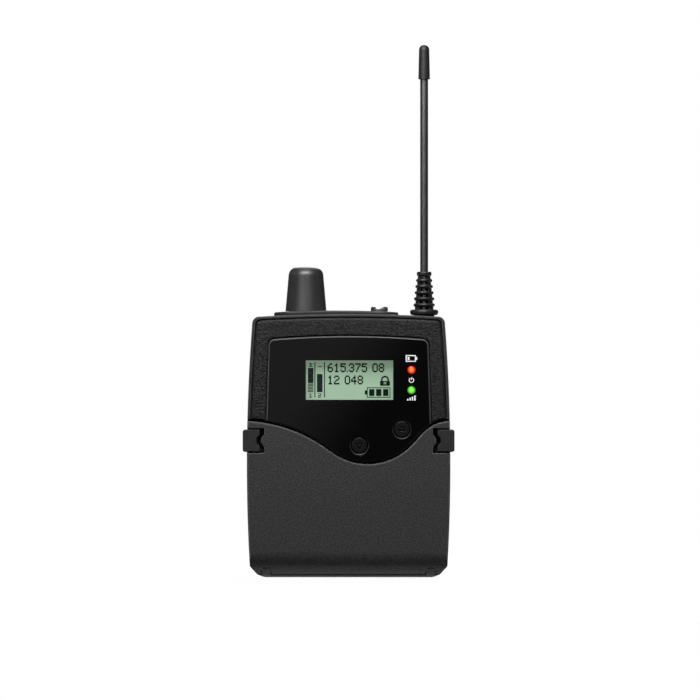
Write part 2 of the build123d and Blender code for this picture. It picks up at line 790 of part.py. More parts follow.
# ---- front bezel -----------------------------------------------------------------------------
with BuildPart() as front_bezel:
    with BuildSketch(facing_front(bezel_back_y)):
        body_outline(bezel_inset)
        above_wave(cover_panel_gap)
    extrude(amount=bezel_back_y - front_y)
    fillet(front_bezel.edges().group_by(Axis.Y)[0], radius=bezel_edge_radius)
    # pocket for the control panel
    with BuildSketch(facing_front(bezel_shelf_y)):
        panel_outline(panel_gap)
    extrude(amount=far, mode=Mode.SUBTRACT)
    # bosses for the front board, then long posts that reach the main board
    with BuildSketch(facing_front(bezel_back_y)):
        with Locations(front_screw_points):
            Circle(front_boss_radius)
    extrude(amount=bezel_back_y - front_board_front_y)
    with BuildSketch(facing_front(bezel_back_y)):
        with Locations((-bezel_post_x, bezel_post_z), (bezel_post_x, bezel_post_z)):
            Circle(bezel_post_radius)
    extrude(amount=bezel_back_y - main_board_front_y)
    # openings in the shelf for the display, the lamps, the buttons and the infrared receiver
    with BuildSketch(facing_front(bezel_back_y)):
        with Locations((window_x, window_z)):
            Rectangle(
                window_width + display_glass_margin,
                window_height + display_glass_margin,
            )
        with Locations((lamp_x, red_lamp_z), (lamp_x, green_lamp_z)):
            Circle(lamp_shelf_hole_radius)
        with Locations((up_button_x, up_button_z), (down_button_x, down_button_z)):
            Circle(button_shelf_hole_radius)
        with Locations((infrared_x, infrared_z)):
            Circle(infrared_hole_radius)
    extrude(amount=far, mode=Mode.SUBTRACT)
    # screw holes in the bosses and posts
    with BuildSketch(facing_front(front_screw_tip_y)):
        with Locations(front_screw_points):
            Circle(front_screw_radius)
    extrude(amount=front_screw_tip_y - front_board_front_y, mode=Mode.SUBTRACT)
    with BuildSketch(facing_front(main_board_front_y)):
        with Locations((-bezel_post_x, bezel_post_z), (bezel_post_x, bezel_post_z)):
            Circle(screw_radius)
    extrude(amount=main_board_front_y - upper_screw_tip_y, mode=Mode.SUBTRACT)

# ---- control panel and display window --------------------------------------------------------
with BuildPart() as control_panel:
    with BuildSketch(facing_front(bezel_shelf_y)):
        panel_outline()
        above_wave(cover_panel_gap)
    extrude(amount=bezel_shelf_y - panel_front_y)
    chamfer(control_panel.edges().group_by(Axis.Y)[0], length=panel_bevel)
    with BuildSketch(facing_front(bezel_shelf_y)):
        with Locations((window_x, window_z)):
            Rectangle(window_width, window_height)
        with Locations((lamp_x, red_lamp_z), (lamp_x, green_lamp_z)):
            Circle(lamp_hole_radius)
    extrude(amount=far, mode=Mode.SUBTRACT)
    with BuildSketch(facing_front(bezel_shelf_y)):
        with Locations((up_button_x, up_button_z), (down_button_x, down_button_z)):
            Circle(button_hole_radius)
    extrude(amount=far, mode=Mode.SUBTRACT)
    button_rims = (
        control_panel.edges()
        .group_by(Axis.Y)[0]
        .filter_by(GeomType.CIRCLE)
        .filter_by(lambda edge: abs(edge.radius - button_hole_radius) < fit_clearance)
    )
    chamfer(button_rims, length=button_rim_chamfer)

with BuildPart() as display_window:
    with BuildSketch(facing_front(window_back_y)):
        with Locations((window_x, window_z)):
            Rectangle(window_width - 2 * window_fit, window_height - 2 * window_fit)
    extrude(amount=window_back_y - panel_front_y - window_fit)

# ---- display ---------------------------------------------------------------------------------
with BuildPart() as display_gasket:
    with BuildSketch(facing_front(display_front_y)):
        with Locations((window_x, window_z)):
            Rectangle(display_width, display_height)
            Rectangle(
                window_width + display_glass_margin,
                window_height + display_glass_margin,
                mode=Mode.SUBTRACT,
            )
    extrude(amount=display_front_y - bezel_back_y)

display_glass_width = display_width - 2 * display_glass_margin
display_glass_height = display_height - 2 * display_glass_margin
with BuildPart() as display_frame:
    with BuildSketch(facing_front(front_board_front_y)):
        with Locations((window_x, window_z)):
            Rectangle(display_width, display_height)
    extrude(amount=front_board_front_y - display_front_y)
    with BuildSketch(facing_front(display_front_y + display_glass_thickness)):
        with Locations((window_x, window_z)):
            Rectangle(display_glass_width, display_glass_height)
    extrude(amount=far, mode=Mode.SUBTRACT)

with BuildPart() as display_glass:
    with BuildSketch(facing_front(display_front_y + display_glass_thickness)):
        with Locations((window_x, window_z)):
            Rectangle(display_glass_width, display_glass_height)
    extrude(amount=display_glass_thickness)

with BuildPart() as display_flex:
    with BuildSketch(facing_front(front_board_front_y)):
        with Locations((window_x, display_low_z - display_flex_length / 2)):
            Rectangle(display_flex_width, display_flex_length)
    extrude(amount=display_flex_thickness)
    with BuildSketch(facing_front(front_board_front_y)):
        with Locations((window_x, display_low_z - display_flex_length - display_plug_length / 2)):
            Rectangle(display_plug_width, display_plug_length)
    extrude(amount=display_plug_height)

# ---- status lamps ----------------------------------------------------------------------------
with BuildPart() as red_status_lamp:
    with BuildSketch(facing_front(front_board_front_y)):
        with Locations((lamp_x, red_lamp_z)):
            Circle(lamp_radius)
    extrude(amount=front_board_front_y - lamp_front_y)
    fillet(red_status_lamp.edges().group_by(Axis.Y)[0], radius=lamp_dome_radius)
    with BuildSketch(facing_front(front_board_front_y)):
        with Locations((lamp_x, red_lamp_z)):
            Circle(lamp_flange_radius)
    extrude(amount=front_board_front_y - lamp_flange_front_y)
with BuildPart() as green_status_lamp:
    with Locations((0, 0, green_lamp_z - red_lamp_z)):
        add(red_status_lamp.part)


# ---- buttons ---------------------------------------------------------------------------------
def arrow_key(x, z, turn):
    """Round key with a grooved triangle on its face, a hidden flange and a stem behind."""
    with BuildPart() as key:
        with BuildSketch(facing_front(button_flange_back_y)):
            with Locations((x, z)):
                Circle(button_radius)
        extrude(amount=button_flange_back_y - button_front_y)
        fillet(key.edges().group_by(Axis.Y)[0], radius=button_edge_radius)
        with BuildSketch(facing_front(button_flange_back_y)):
            with Locations((x, z)):
                Circle(button_flange_radius)
        extrude(amount=button_flange_back_y - button_flange_front_y)
        with BuildSketch(facing_front(button_stem_back_y)):
            with Locations((x, z)):
                Circle(button_stem_radius)
        extrude(amount=button_stem_back_y - button_flange_back_y)
        with BuildSketch(facing_front(button_front_y + triangle_depth)):
            with Locations(Location((x, z), turn)):
                RegularPolygon(triangle_radius, 3)
                RegularPolygon(triangle_radius - 2 * triangle_line, 3, mode=Mode.SUBTRACT)
        extrude(amount=far, mode=Mode.SUBTRACT)
    return key


up_button = arrow_key(up_button_x, up_button_z, 90)
down_button = arrow_key(down_button_x, down_button_z, -90)

with BuildPart() as set_button:
    with BuildSketch(facing_front(set_button_flange_back_y)):
        with Locations((set_button_x, set_button_z)):
            Circle(set_button_radius)
    extrude(amount=set_button_flange_back_y - apron_front_y)
    fillet(set_button.edges().group_by(Axis.Y)[0], radius=button_edge_radius)
    with BuildSketch(facing_front(set_button_flange_back_y)):
        with Locations((set_button_x, set_button_z)):
            Circle(set_button_flange_radius)
    extrude(amount=set_button_flange_back_y - set_button_flange_front_y)
    with BuildSketch(facing_front(button_stem_back_y)):
        with Locations((set_button_x, set_button_z)):
            Circle(button_stem_radius)
    extrude(amount=button_stem_back_y - set_button_flange_back_y)

# ---- front circuit board and what it carries -------------------------------------------------
switch_points = [
    (up_button_x, up_button_z),
    (down_button_x, down_button_z),
    (set_button_x, set_button_z),
]
with BuildPart() as front_board:
    with BuildSketch(facing_front(front_board_back_y)):
        with Locations((0, (front_board_low_z + front_board_high_z) / 2)):
            Rectangle(2 * front_board_half_width, front_board_high_z - front_board_low_z)
        with Locations(front_screw_points):
            Circle(front_screw_radius + fit_clearance, mode=Mode.SUBTRACT)
    extrude(amount=front_board_thickness)

with BuildPart() as tact_switches:
    with BuildSketch(facing_front(front_board_front_y)):
        with Locations(switch_points):
            Rectangle(switch_size, switch_size)
    extrude(amount=switch_height)
    with BuildSketch(facing_front(front_board_front_y - switch_height)):
        with Locations(switch_points):
            Circle(switch_plunger_radius)
    extrude(amount=switch_plunger_height)

with BuildPart() as infrared_receiver:
    with BuildSketch(facing_front(front_board_front_y)):
        with Locations((infrared_x, infrared_z)):
            Rectangle(2 * infrared_hole_radius, 2 * infrared_hole_radius)
    extrude(amount=infrared_body_height)
    with BuildSketch(facing_front(front_board_front_y)):
        with Locations((infrared_x, infrared_z)):
            Circle(infrared_radius)
    extrude(amount=front_board_front_y - bezel_back_y)
    fillet(infrared_receiver.edges().group_by(Axis.Y)[0], radius=infrared_radius / 2)

with BuildPart() as front_board_screws:
    with BuildSketch(facing_front(front_board_back_y)):
        with Locations(front_screw_points):
            Circle(front_screw_radius)
    extrude(amount=front_board_back_y - front_screw_tip_y)
    with BuildSketch(facing_front(front_board_back_y + front_screw_head_height)):
        with Locations(front_screw_points):
            Circle(front_screw_head_radius)
    extrude(amount=front_screw_head_height)
    with BuildSketch(facing_front(front_board_back_y + front_screw_head_height / 2)):
        with Locations(front_screw_points):
            RegularPolygon(front_screw_radius, 6)
    extrude(amount=-far, mode=Mode.SUBTRACT)

# ---- battery tray, cells and contacts --------------------------------------------------------
with BuildPart() as battery_tray:
    with BuildSketch(facing_front(tray_floor_y + tray_wall)):
        with Locations((0, (tray_low_z + tray_high_z) / 2)):
            RectangleRounded(
                2 * tray_outer_half_width, tray_high_z - tray_low_z, tray_corner_radius
            )
    extrude(amount=tray_floor_y + tray_wall - tray_front_y)
    with BuildSketch(facing_front(tray_floor_y)):
        with Locations((0, (tray_low_z + tray_high_z) / 2)):
            Rectangle(
                2 * tray_inner_half_width, tray_high_z - tray_low_z - 2 * tray_wall
            )
    extrude(amount=far, mode=Mode.SUBTRACT)
    # rib between the two cells
    with Locations((0, tray_floor_y - tray_rib_depth / 2, (lower_cell_z + upper_cell_z) / 2)):
        Box(2 * tray_inner_half_width, tray_rib_depth, tray_rib_height)
    # the top wall runs forward and rises as a plate up to the panel
    with BuildSketch(facing_front(tray_front_y)):
        with Locations((0, tray_high_z - tray_wall / 2)):
            Rectangle(2 * apron_half_width, tray_wall)
    extrude(amount=tray_front_y - apron_front_y)
    with BuildSketch(facing_front(apron_front_y + apron_thickness)):
        with Locations((0, (tray_high_z + cover_side_edge_height) / 2)):
            Rectangle(2 * apron_half_width, cover_side_edge_height - tray_high_z)
        below_wave(apron_wave_gap)
        with Locations((set_button_x, set_button_z)):
            Circle(set_button_hole_radius, mode=Mode.SUBTRACT)
    extrude(amount=apron_thickness)
    # bosses for the lower case screws
    with BuildSketch(facing_front(main_board_front_y)):
        with Locations((-lower_screw_x, lower_screw_z), (lower_screw_x, lower_screw_z)):
            Circle(screw_post_radius)
    extrude(amount=main_board_front_y - tray_floor_y - tray_wall / 2)
    with BuildSketch(facing_front(main_board_front_y)):
        with Locations((-lower_screw_x, lower_screw_z), (lower_screw_x, lower_screw_z)):
            Circle(screw_radius)
    extrude(amount=main_board_front_y - lower_screw_tip_y, mode=Mode.SUBTRACT)


def battery_cell(z, end_sign):
    """One cell lying along X, its positive nub at the given end."""
    with BuildPart() as cell:
        with Locations(along_x(end_sign * (cell_shift - cell_nub_length / 2), cell_y, z)):
            Cylinder(cell_radius, cell_length - cell_nub_length)
        fillet(cell.edges().filter_by(GeomType.CIRCLE), radius=cell_edge_radius)
        with Locations(along_x(end_sign * (cell_shift + cell_length / 2 - cell_nub_length), cell_y, z)):
            Cylinder(cell_nub_radius, 2 * cell_nub_length)
    return cell


upper_battery = battery_cell(upper_cell_z, 1)
lower_battery = battery_cell(lower_cell_z, -1)
cell_ends = [(upper_cell_z, 1), (lower_cell_z, -1)]
contact_inner_x = tray_inner_half_width - contact_plate
positive_end_x = cell_shift + cell_length / 2
negative_end_x = cell_length / 2 - cell_shift

with BuildPart() as battery_contacts:
    for z, end_sign in cell_ends:
        for side in (-1, 1):
            with Locations(
                (
                    side * (tray_inner_half_width - contact_plate / 2),
                    (contact_low_y + contact_high_y) / 2,
                    z,
                )
            ):
                Box(contact_plate, contact_high_y - contact_low_y, contact_height)
        with Locations(
            along_x(end_sign * (positive_end_x + fit_clearance + contact_inner_x) / 2, cell_y, z)
        ):
            Cylinder(contact_bump_radius, contact_inner_x - positive_end_x - fit_clearance)

with BuildPart() as battery_springs:
    for z, end_sign in cell_ends:
        with BuildLine():
            coil = Helix(
                pitch=contact_spring_pitch,
                height=contact_inner_x - negative_end_x - 2 * contact_spring_wire_radius,
                radius=contact_spring_radius,
                center=(-end_sign * (contact_inner_x - contact_spring_wire_radius), cell_y, z),
                direction=(end_sign, 0, 0),
            )
        with BuildSketch(Plane(origin=coil @ 0, z_dir=coil % 0)):
            Circle(contact_spring_wire_radius)
        sweep()

# ---- main circuit board and what it carries --------------------------------------------------
with BuildPart() as main_board:
    with BuildSketch(facing_front(main_board_back_y)):
        with Locations((0, (main_board_low_z + main_board_high_z) / 2)):
            RectangleRounded(
                2 * main_board_half_width, main_board_high_z - main_board_low_z, board_corner_radius
            )
        with Locations(screw_points):
            Circle(screw_hole_radius, mode=Mode.SUBTRACT)
    extrude(amount=main_board_thickness)

shield_points = [(left_shield_x, left_shield_z), (right_shield_x, right_shield_z)]
with BuildPart() as shield_cans:
    with BuildSketch(facing_front(main_board_front_y)):
        with Locations(shield_points):
            Rectangle(shield_width, shield_height)
    extrude(amount=shield_depth)
    with BuildSketch(facing_front(main_board_front_y)):
        with Locations(shield_points):
            Rectangle(shield_width - 2 * shield_wall, shield_height - 2 * shield_wall)
    extrude(amount=shield_depth - shield_wall, mode=Mode.SUBTRACT)

chip_places = [
    (left_shield_x, left_shield_z, radio_chip_size),
    (right_shield_x, right_shield_z, sound_chip_size),
    (right_shield_x, tray_high_z / 2, charge_chip_size),
]
with BuildPart() as main_chips:
    for x, z, size in chip_places:
        with Locations((x, main_board_back_y + chip_height / 2, z)):
            Box(size, chip_height, size)

with BuildPart() as board_header:
    with Locations((header_x, (front_board_back_y + main_board_front_y) / 2, header_z)):
        Box(header_width, main_board_front_y - front_board_back_y, header_height)

# ---- case screws -----------------------------------------------------------------------------
with BuildPart() as case_screws:
    for x, z, tip_y in screw_places:
        with Locations(Location((x, (back_y + tip_y) / 2, z), (90, 0, 0))):
            Cylinder(screw_radius, back_y - tip_y)
        with Locations(Location((x, back_y - screw_head_height / 2, z), (90, 0, 0))):
            Cone(screw_head_radius, screw_radius, screw_head_height)
        with Locations(Location((x, back_y, z), (90, 0, 0))):
            with BuildSketch():
                RegularPolygon(screw_recess_radius, 6)
            extrude(amount=screw_recess_depth, mode=Mode.SUBTRACT)

# ---- top deck --------------------------------------------------------------------------------
deck_middle_x = (deck_left_x + deck_right_x) / 2
deck_length = deck_right_x - deck_left_x
with BuildPart() as top_deck:
    with BuildSketch(facing_front(deck_half_depth)):
        with BuildLine():
            crown = ThreePointArc(
                (deck_left_x, deck_end_z), (deck_middle_x, deck_top_z), (deck_right_x, deck_end_z)
            )
            Polyline(crown @ 1, (deck_right_x, deck_seat_z), (deck_left_x, deck_seat_z), crown @ 0)
        make_face()
    extrude(amount=2 * deck_half_depth)
    with BuildSketch(Plane.XY.offset(deck_seat_z)):
        with Locations((deck_middle_x, 0)):
            RectangleRounded(deck_length, 2 * deck_half_depth, deck_plan_radius)
    extrude(amount=body_height, mode=Mode.INTERSECT)
    fillet(top_deck.faces().sort_by(Axis.Z)[-1].edges(), radius=deck_edge_radius)
    for x, spot_z, spot_radius, hole_radius in (
        (knob_x, pot_spot_z, pot_spot_radius, pot_bushing_radius),
        (jack_x, jack_flange_z, jack_collar_radius + deck_fit, jack_neck_radius),
    ):
        with BuildSketch(Plane.XY.offset(spot_z)):
            with Locations((x, 0)):
                Circle(spot_radius)
        extrude(amount=far, mode=Mode.SUBTRACT)
        with Locations((x, 0, deck_seat_z)):
            Cylinder(hole_radius + fit_clearance, far, mode=Mode.SUBTRACT)

# ---- volume control --------------------------------------------------------------------------
with BuildPart() as volume_pot:
    with Locations((knob_x, 0, (pot_body_low_z + pot_body_high_z) / 2)):
        Box(pot_body_size, pot_body_size, pot_body_high_z - pot_body_low_z)
    with Locations((knob_x, 0, (pot_body_high_z + pot_bushing_top_z) / 2)):
        Cylinder(pot_bushing_radius, pot_bushing_top_z - pot_body_high_z)
    # legs soldered to the main board
    with Locations((knob_x, (pot_body_size / 2 + main_board_front_y) / 2, pot_body_low_z + 1)):
        with GridLocations(pot_body_size / 4, 0, 3, 1):
            Box(terminal_width, main_board_front_y - pot_body_size / 2, terminal_thickness)
    with Locations((knob_x, 0, pot_shaft_low_z)):
        Cylinder(
            pot_shaft_radius + fit_clearance,
            far,
            align=(Align.CENTER, Align.CENTER, Align.MIN),
            mode=Mode.SUBTRACT,
        )

with BuildPart() as pot_nut:
    with BuildSketch(Plane.XY.offset(pot_spot_z)):
        with Locations((knob_x, 0)):
            RegularPolygon(pot_nut_across_flats / 2, 6, major_radius=False)
            Circle(pot_bushing_radius + fit_clearance, mode=Mode.SUBTRACT)
    extrude(amount=pot_nut_height)

with BuildPart() as pot_shaft:
    with BuildSketch(Plane.XY.offset(pot_shaft_low_z)):
        with Locations((knob_x, 0)):
            Circle(pot_shaft_radius)
    extrude(amount=pot_shaft_high_z - pot_shaft_low_z)
    with BuildSketch(Plane.XY.offset(knob_base_z + knob_recess_depth)):
        with Locations((knob_x, 2 * pot_shaft_radius - pot_flat_depth)):
            Rectangle(4 * pot_shaft_radius, 2 * pot_shaft_radius)
    extrude(amount=far, mode=Mode.SUBTRACT)

with BuildPart() as volume_knob:
    with BuildSketch(Plane.XZ):
        with BuildLine():
            dome = ThreePointArc(
                (-knob_top_radius, knob_shoulder_z),
                (0, knob_top_z),
                (knob_top_radius, knob_shoulder_z),
            )
            Polyline(
                dome @ 1,
                (knob_base_radius, knob_base_z),
                (-knob_base_radius, knob_base_z),
                dome @ 0,
            )
        make_face()
        fillet(BuildSketch._get_context().vertices().sort_by(Axis.Y)[-2:], radius=knob_edge_radius)
        with Locations((-far / 2, body_height)):
            Rectangle(far, far, mode=Mode.SUBTRACT)
    revolve(axis=Axis.Z)
    with BuildSketch(Plane.XY.offset(knob_base_z)):
        Circle(knob_recess_radius)
    extrude(amount=knob_recess_depth, mode=Mode.SUBTRACT)
    # bore with a flat, matching the shaft
    with BuildSketch(Plane.XY.offset(knob_base_z + knob_recess_depth)):
        Circle(pot_shaft_radius)
        with Locations((0, 2 * pot_shaft_radius - pot_flat_depth)):
            Rectangle(4 * pot_shaft_radius, 2 * pot_shaft_radius, mode=Mode.SUBTRACT)
    extrude(amount=pot_shaft_high_z - knob_base_z - knob_recess_depth, mode=Mode.SUBTRACT)
volume_knob.part.position = (knob_x, 0, 0)

# ---- headphone jack --------------------------------------------------------------------------
with BuildPart() as jack_socket:
    with Locations((jack_x, 0, (jack_socket_low_z + jack_socket_top_z) / 2)):
        Box(
            jack_socket_width,
            2 * jack_socket_half_depth,
            jack_socket_top_z - jack_socket_low_z,
        )
    with BuildSketch(Plane.XY.offset(jack_collar_top_z - jack_bore_depth)):
        with Locations((jack_x, 0)):
            Circle(jack_bore_radius)
    extrude(amount=far, mode=Mode.SUBTRACT)
    with BuildSketch(Plane.XY.offset(jack_neck_low_z)):
        with Locations((jack_x, 0)):
            Circle(jack_neck_radius + fit_clearance)
    extrude(amount=far, mode=Mode.SUBTRACT)

with BuildPart() as jack_terminals:
    terminal_length = main_board_front_y - jack_socket_half_depth
    for x_step, rise in ((-1, 2.5), (1, 2.5), (0, 9.5)):
        with Locations(
            (
                jack_x + x_step * jack_socket_width / 4,
                jack_socket_half_depth + terminal_length / 2,
                jack_socket_low_z + rise,
            )
        ):
            Box(terminal_width, terminal_length, terminal_thickness)

with BuildPart() as jack_collar:
    with BuildSketch(Plane.XY.offset(jack_flange_z)):
        with Locations((jack_x, 0)):
            Circle(jack_collar_radius)
    extrude(amount=jack_collar_top_z - jack_flange_z)
    fillet(jack_collar.edges().sort_by(Axis.Z)[-1], radius=jack_collar_edge_radius)
    with BuildSketch(Plane.XY.offset(jack_neck_low_z)):
        with Locations((jack_x, 0)):
            Circle(jack_neck_radius)
    extrude(amount=jack_flange_z - jack_neck_low_z)
    with Locations((jack_x, 0, body_height)):
        Cylinder(jack_bore_radius, far, mode=Mode.SUBTRACT)

# ---- antenna ---------------------------------------------------------------------------------
antenna_plane = Plane(origin=(antenna_x, 0, 0), x_dir=(1, 0, 0), z_dir=(0, -1, 0))
antenna_axis = Axis((antenna_x, 0, 0), (0, 0, 1))

with BuildPart() as antenna_base:
    with Locations((antenna_x, 0, (antenna_base_low_z + antenna_seat_z) / 2)):
        Cylinder(antenna_base_radius, antenna_seat_z - antenna_base_low_z)
    # tab soldered to the main board
    tab_start_y = antenna_base_radius - terminal_width
    with Locations((antenna_x, (tab_start_y + main_board_front_y) / 2, antenna_base_low_z + 1)):
        Box(2 * terminal_width, main_board_front_y - tab_start_y, terminal_thickness)
    with BuildSketch(Plane.XY.offset(antenna_rod_low_z)):
        with Locations((antenna_x, 0)):
            Circle(antenna_rod_radius)
    extrude(amount=far, mode=Mode.SUBTRACT)

with BuildPart() as antenna_rod:
    with BuildSketch(Plane.XY.offset(antenna_rod_low_z)):
        with Locations((antenna_x, 0)):
            Circle(antenna_rod_radius)
    extrude(amount=antenna_rod_high_z - antenna_rod_low_z)

with BuildPart() as antenna_cap:
    with BuildSketch(antenna_plane):
        with BuildLine():
            tip_z = antenna_top_z - antenna_cap_high_radius
            tip = CenterArc((0, tip_z), antenna_cap_high_radius, 0, 90)
            Polyline(
                tip @ 1, (0, antenna_cap_low_z), (antenna_cap_low_radius, antenna_cap_low_z), tip @ 0
            )
        make_face()
    revolve(axis=antenna_axis)
    with BuildSketch(Plane.XY.offset(antenna_rod_high_z)):
        with Locations((antenna_x, 0)):
            Circle(antenna_rod_radius)
    extrude(amount=-far, mode=Mode.SUBTRACT)

with BuildPart() as antenna_boot:
    # tapered sleeve round a core tube, with two windows front and back between each pair of rings
    sleeve_height = boot_top_ring_z - boot_flange_top_z
    with Locations((antenna_x, 0, boot_flange_top_z + sleeve_height / 2)):
        Cone(boot_sleeve_low_radius, boot_sleeve_high_radius, sleeve_height)
    stops = [boot_flange_top_z - boot_ring_thickness / 2]
    stops += [antenna_seat_z + rise for rise in boot_ring_rises]
    stops += [boot_top_ring_z - (boot_top_ring_height - boot_ring_thickness) / 2]
    for row, (stop_low, stop_high) in enumerate(zip(stops, stops[1:])):
        narrowing = (boot_window_low_width - boot_window_high_width) / len(boot_ring_rises)
        window = boot_window_low_width - row * narrowing
        for side in (-1, 1):
            window_middle_x = antenna_x + side * (boot_web_thickness + window) / 2
            with Locations((window_middle_x, 0, (stop_low + stop_high) / 2)):
                Box(window, 3 * boot_sleeve_low_radius, boot_window_height, mode=Mode.SUBTRACT)
    with Locations((antenna_x, 0, boot_flange_top_z + sleeve_height / 2)):
        Cylinder(boot_core_radius, sleeve_height)
    with BuildSketch(antenna_plane):
        for rise, radius in zip(boot_ring_rises, boot_ring_radii):
            with Locations((0, antenna_seat_z + rise)):
                RectangleRounded(2 * radius, boot_ring_thickness, boot_ring_edge_radius)
        with Locations((0, boot_top_ring_z)):
            RectangleRounded(
                2 * boot_top_ring_radius, boot_top_ring_height, boot_top_ring_edge_radius
            )
        with Locations((0, (antenna_seat_z + boot_flange_top_z) / 2)):
            RectangleRounded(
                2 * boot_flange_radius, boot_flange_top_z - antenna_seat_z, boot_flange_edge_radius
            )
        with Locations((-far / 2, body_height)):
            Rectangle(far, far, mode=Mode.SUBTRACT)
    revolve(axis=antenna_axis)
    with Locations((antenna_x, 0, body_height)):
        Cylinder(antenna_rod_radius + fit_clearance, far, mode=Mode.SUBTRACT)

# ---- belt clip -------------------------------------------------------------------------------
clip_half_bends = [clip_end_bend_radius] + 4 * [clip_bend_radius]
clip_bend_radii = clip_half_bends + clip_half_bends[::-1]
with BuildPart() as belt_clip:
    with BuildLine():
        wire = FilletPolyline(
            (clip_end_x, clip_pivot_y, clip_pivot_z),
            (clip_leg_x, clip_pivot_y, clip_pivot_z),
            (clip_leg_x, clip_back_y, clip_pivot_z),
            (clip_tongue_half_width, clip_back_y, clip_pivot_z),
            (clip_tongue_half_width, clip_back_y, clip_tongue_low_z),
            (clip_toe_half_width, clip_toe_y, clip_toe_z),
            (-clip_toe_half_width, clip_toe_y, clip_toe_z),
            (-clip_tongue_half_width, clip_back_y, clip_tongue_low_z),
            (-clip_tongue_half_width, clip_back_y, clip_pivot_z),
            (-clip_leg_x, clip_back_y, clip_pivot_z),
            (-clip_leg_x, clip_pivot_y, clip_pivot_z),
            (-clip_end_x, clip_pivot_y, clip_pivot_z),
            radius=clip_bend_radii,
        )
    with BuildSketch(Plane(origin=wire @ 0, z_dir=wire % 0)):
        Circle(clip_wire_radius)
    sweep()

# ---- charging contacts and label -------------------------------------------------------------
with BuildPart() as charging_contacts:
    with BuildSketch():
        with Locations((0, charge_contact_y)):
            with GridLocations(charge_contact_pitch, 0, 4, 1):
                Circle(charge_contact_radius)
    extrude(amount=charge_contact_high_z)

with BuildPart() as rating_label:
    with BuildSketch(facing_front(back_y)):
        with Locations((0, label_z)):
            Rectangle(label_width, label_height)
    extrude(amount=label_depth)

nodes = {
    "rear_housing": rear_housing,
    "front_bezel": front_bezel,
    "top_deck": top_deck,
    "control_panel": control_panel,
    "display_window": display_window,
    "display_gasket": display_gasket,
    "display_frame": display_frame,
    "display_glass": display_glass,
    "display_flex": display_flex,
    "red_status_lamp": red_status_lamp,
    "green_status_lamp": green_status_lamp,
    "up_button": up_button,
    "down_button": down_button,
    "set_button": set_button,
    "front_board": front_board,
    "front_board_screws": front_board_screws,
    "tact_switches": tact_switches,
    "infrared_receiver": infrared_receiver,
    "battery_tray": battery_tray,
    "upper_battery": upper_battery,
    "lower_battery": lower_battery,
    "battery_contacts": battery_contacts,
    "battery_springs": battery_springs,
    "battery_cover": battery_cover,
    "hinge_pins": hinge_pins,
    "left_catch": left_catch,
    "right_catch": right_catch,
    "left_catch_spring": left_catch_spring,
    "right_catch_spring": right_catch_spring,
    "main_board": main_board,
    "shield_cans": shield_cans,
    "main_chips": main_chips,
    "board_header": board_header,
    "case_screws": case_screws,
    "volume_knob": volume_knob,
    "pot_shaft": pot_shaft,
    "pot_nut": pot_nut,
    "volume_pot": volume_pot,
    "jack_socket": jack_socket,
    "jack_terminals": jack_terminals,
    "jack_collar": jack_collar,
    "antenna_base": antenna_base,
    "antenna_rod": antenna_rod,
    "antenna_cap": antenna_cap,
    "antenna_boot": antenna_boot,
    "belt_clip": belt_clip,
    "charging_contacts": charging_contacts,
    "rating_label": rating_label,
}
for name, node in nodes.items():
    node.part.label = name
    export_step(node.part, f"parts/{name}.step")
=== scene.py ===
import json
import math

import bmesh
import bpy
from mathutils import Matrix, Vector

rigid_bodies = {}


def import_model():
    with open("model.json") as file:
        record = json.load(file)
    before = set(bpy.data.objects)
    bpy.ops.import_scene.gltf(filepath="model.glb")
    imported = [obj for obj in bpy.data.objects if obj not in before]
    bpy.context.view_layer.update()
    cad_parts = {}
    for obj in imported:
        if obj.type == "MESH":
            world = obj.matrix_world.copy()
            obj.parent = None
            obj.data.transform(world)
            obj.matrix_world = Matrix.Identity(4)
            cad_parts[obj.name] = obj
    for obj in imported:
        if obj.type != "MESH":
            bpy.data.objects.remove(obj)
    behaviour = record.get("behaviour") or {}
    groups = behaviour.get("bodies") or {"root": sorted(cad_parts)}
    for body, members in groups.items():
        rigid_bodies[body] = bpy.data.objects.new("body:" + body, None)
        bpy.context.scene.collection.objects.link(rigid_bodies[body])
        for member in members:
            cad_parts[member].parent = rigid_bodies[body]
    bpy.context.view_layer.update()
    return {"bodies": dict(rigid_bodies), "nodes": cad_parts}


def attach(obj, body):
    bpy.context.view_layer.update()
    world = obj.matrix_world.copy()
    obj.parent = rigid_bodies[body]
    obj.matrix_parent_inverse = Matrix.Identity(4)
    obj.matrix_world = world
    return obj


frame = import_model()
nodes = frame["nodes"]
MM = 0.001
scene = bpy.context.scene

# places on the CAD part that finishes and marks follow, in millimetres of the shared frame
COVER_EDGE_Z = 49.3
BUTTON_FACE_Y = -11.85
LAMP_X, RED_LAMP_Z, GREEN_LAMP_Z = 19.75, 65.36, 59.0
LOWER_CELL_Z, CELL_PITCH, CELL_JACKET_X = 10.81, 14.95, 24.1
COLLAR_ROLL_Z = 84.7
GLASS_MARKS_Y, PANEL_MARKS_Y, LABEL_MARKS_Y = -9.03, -11.965, 11.9


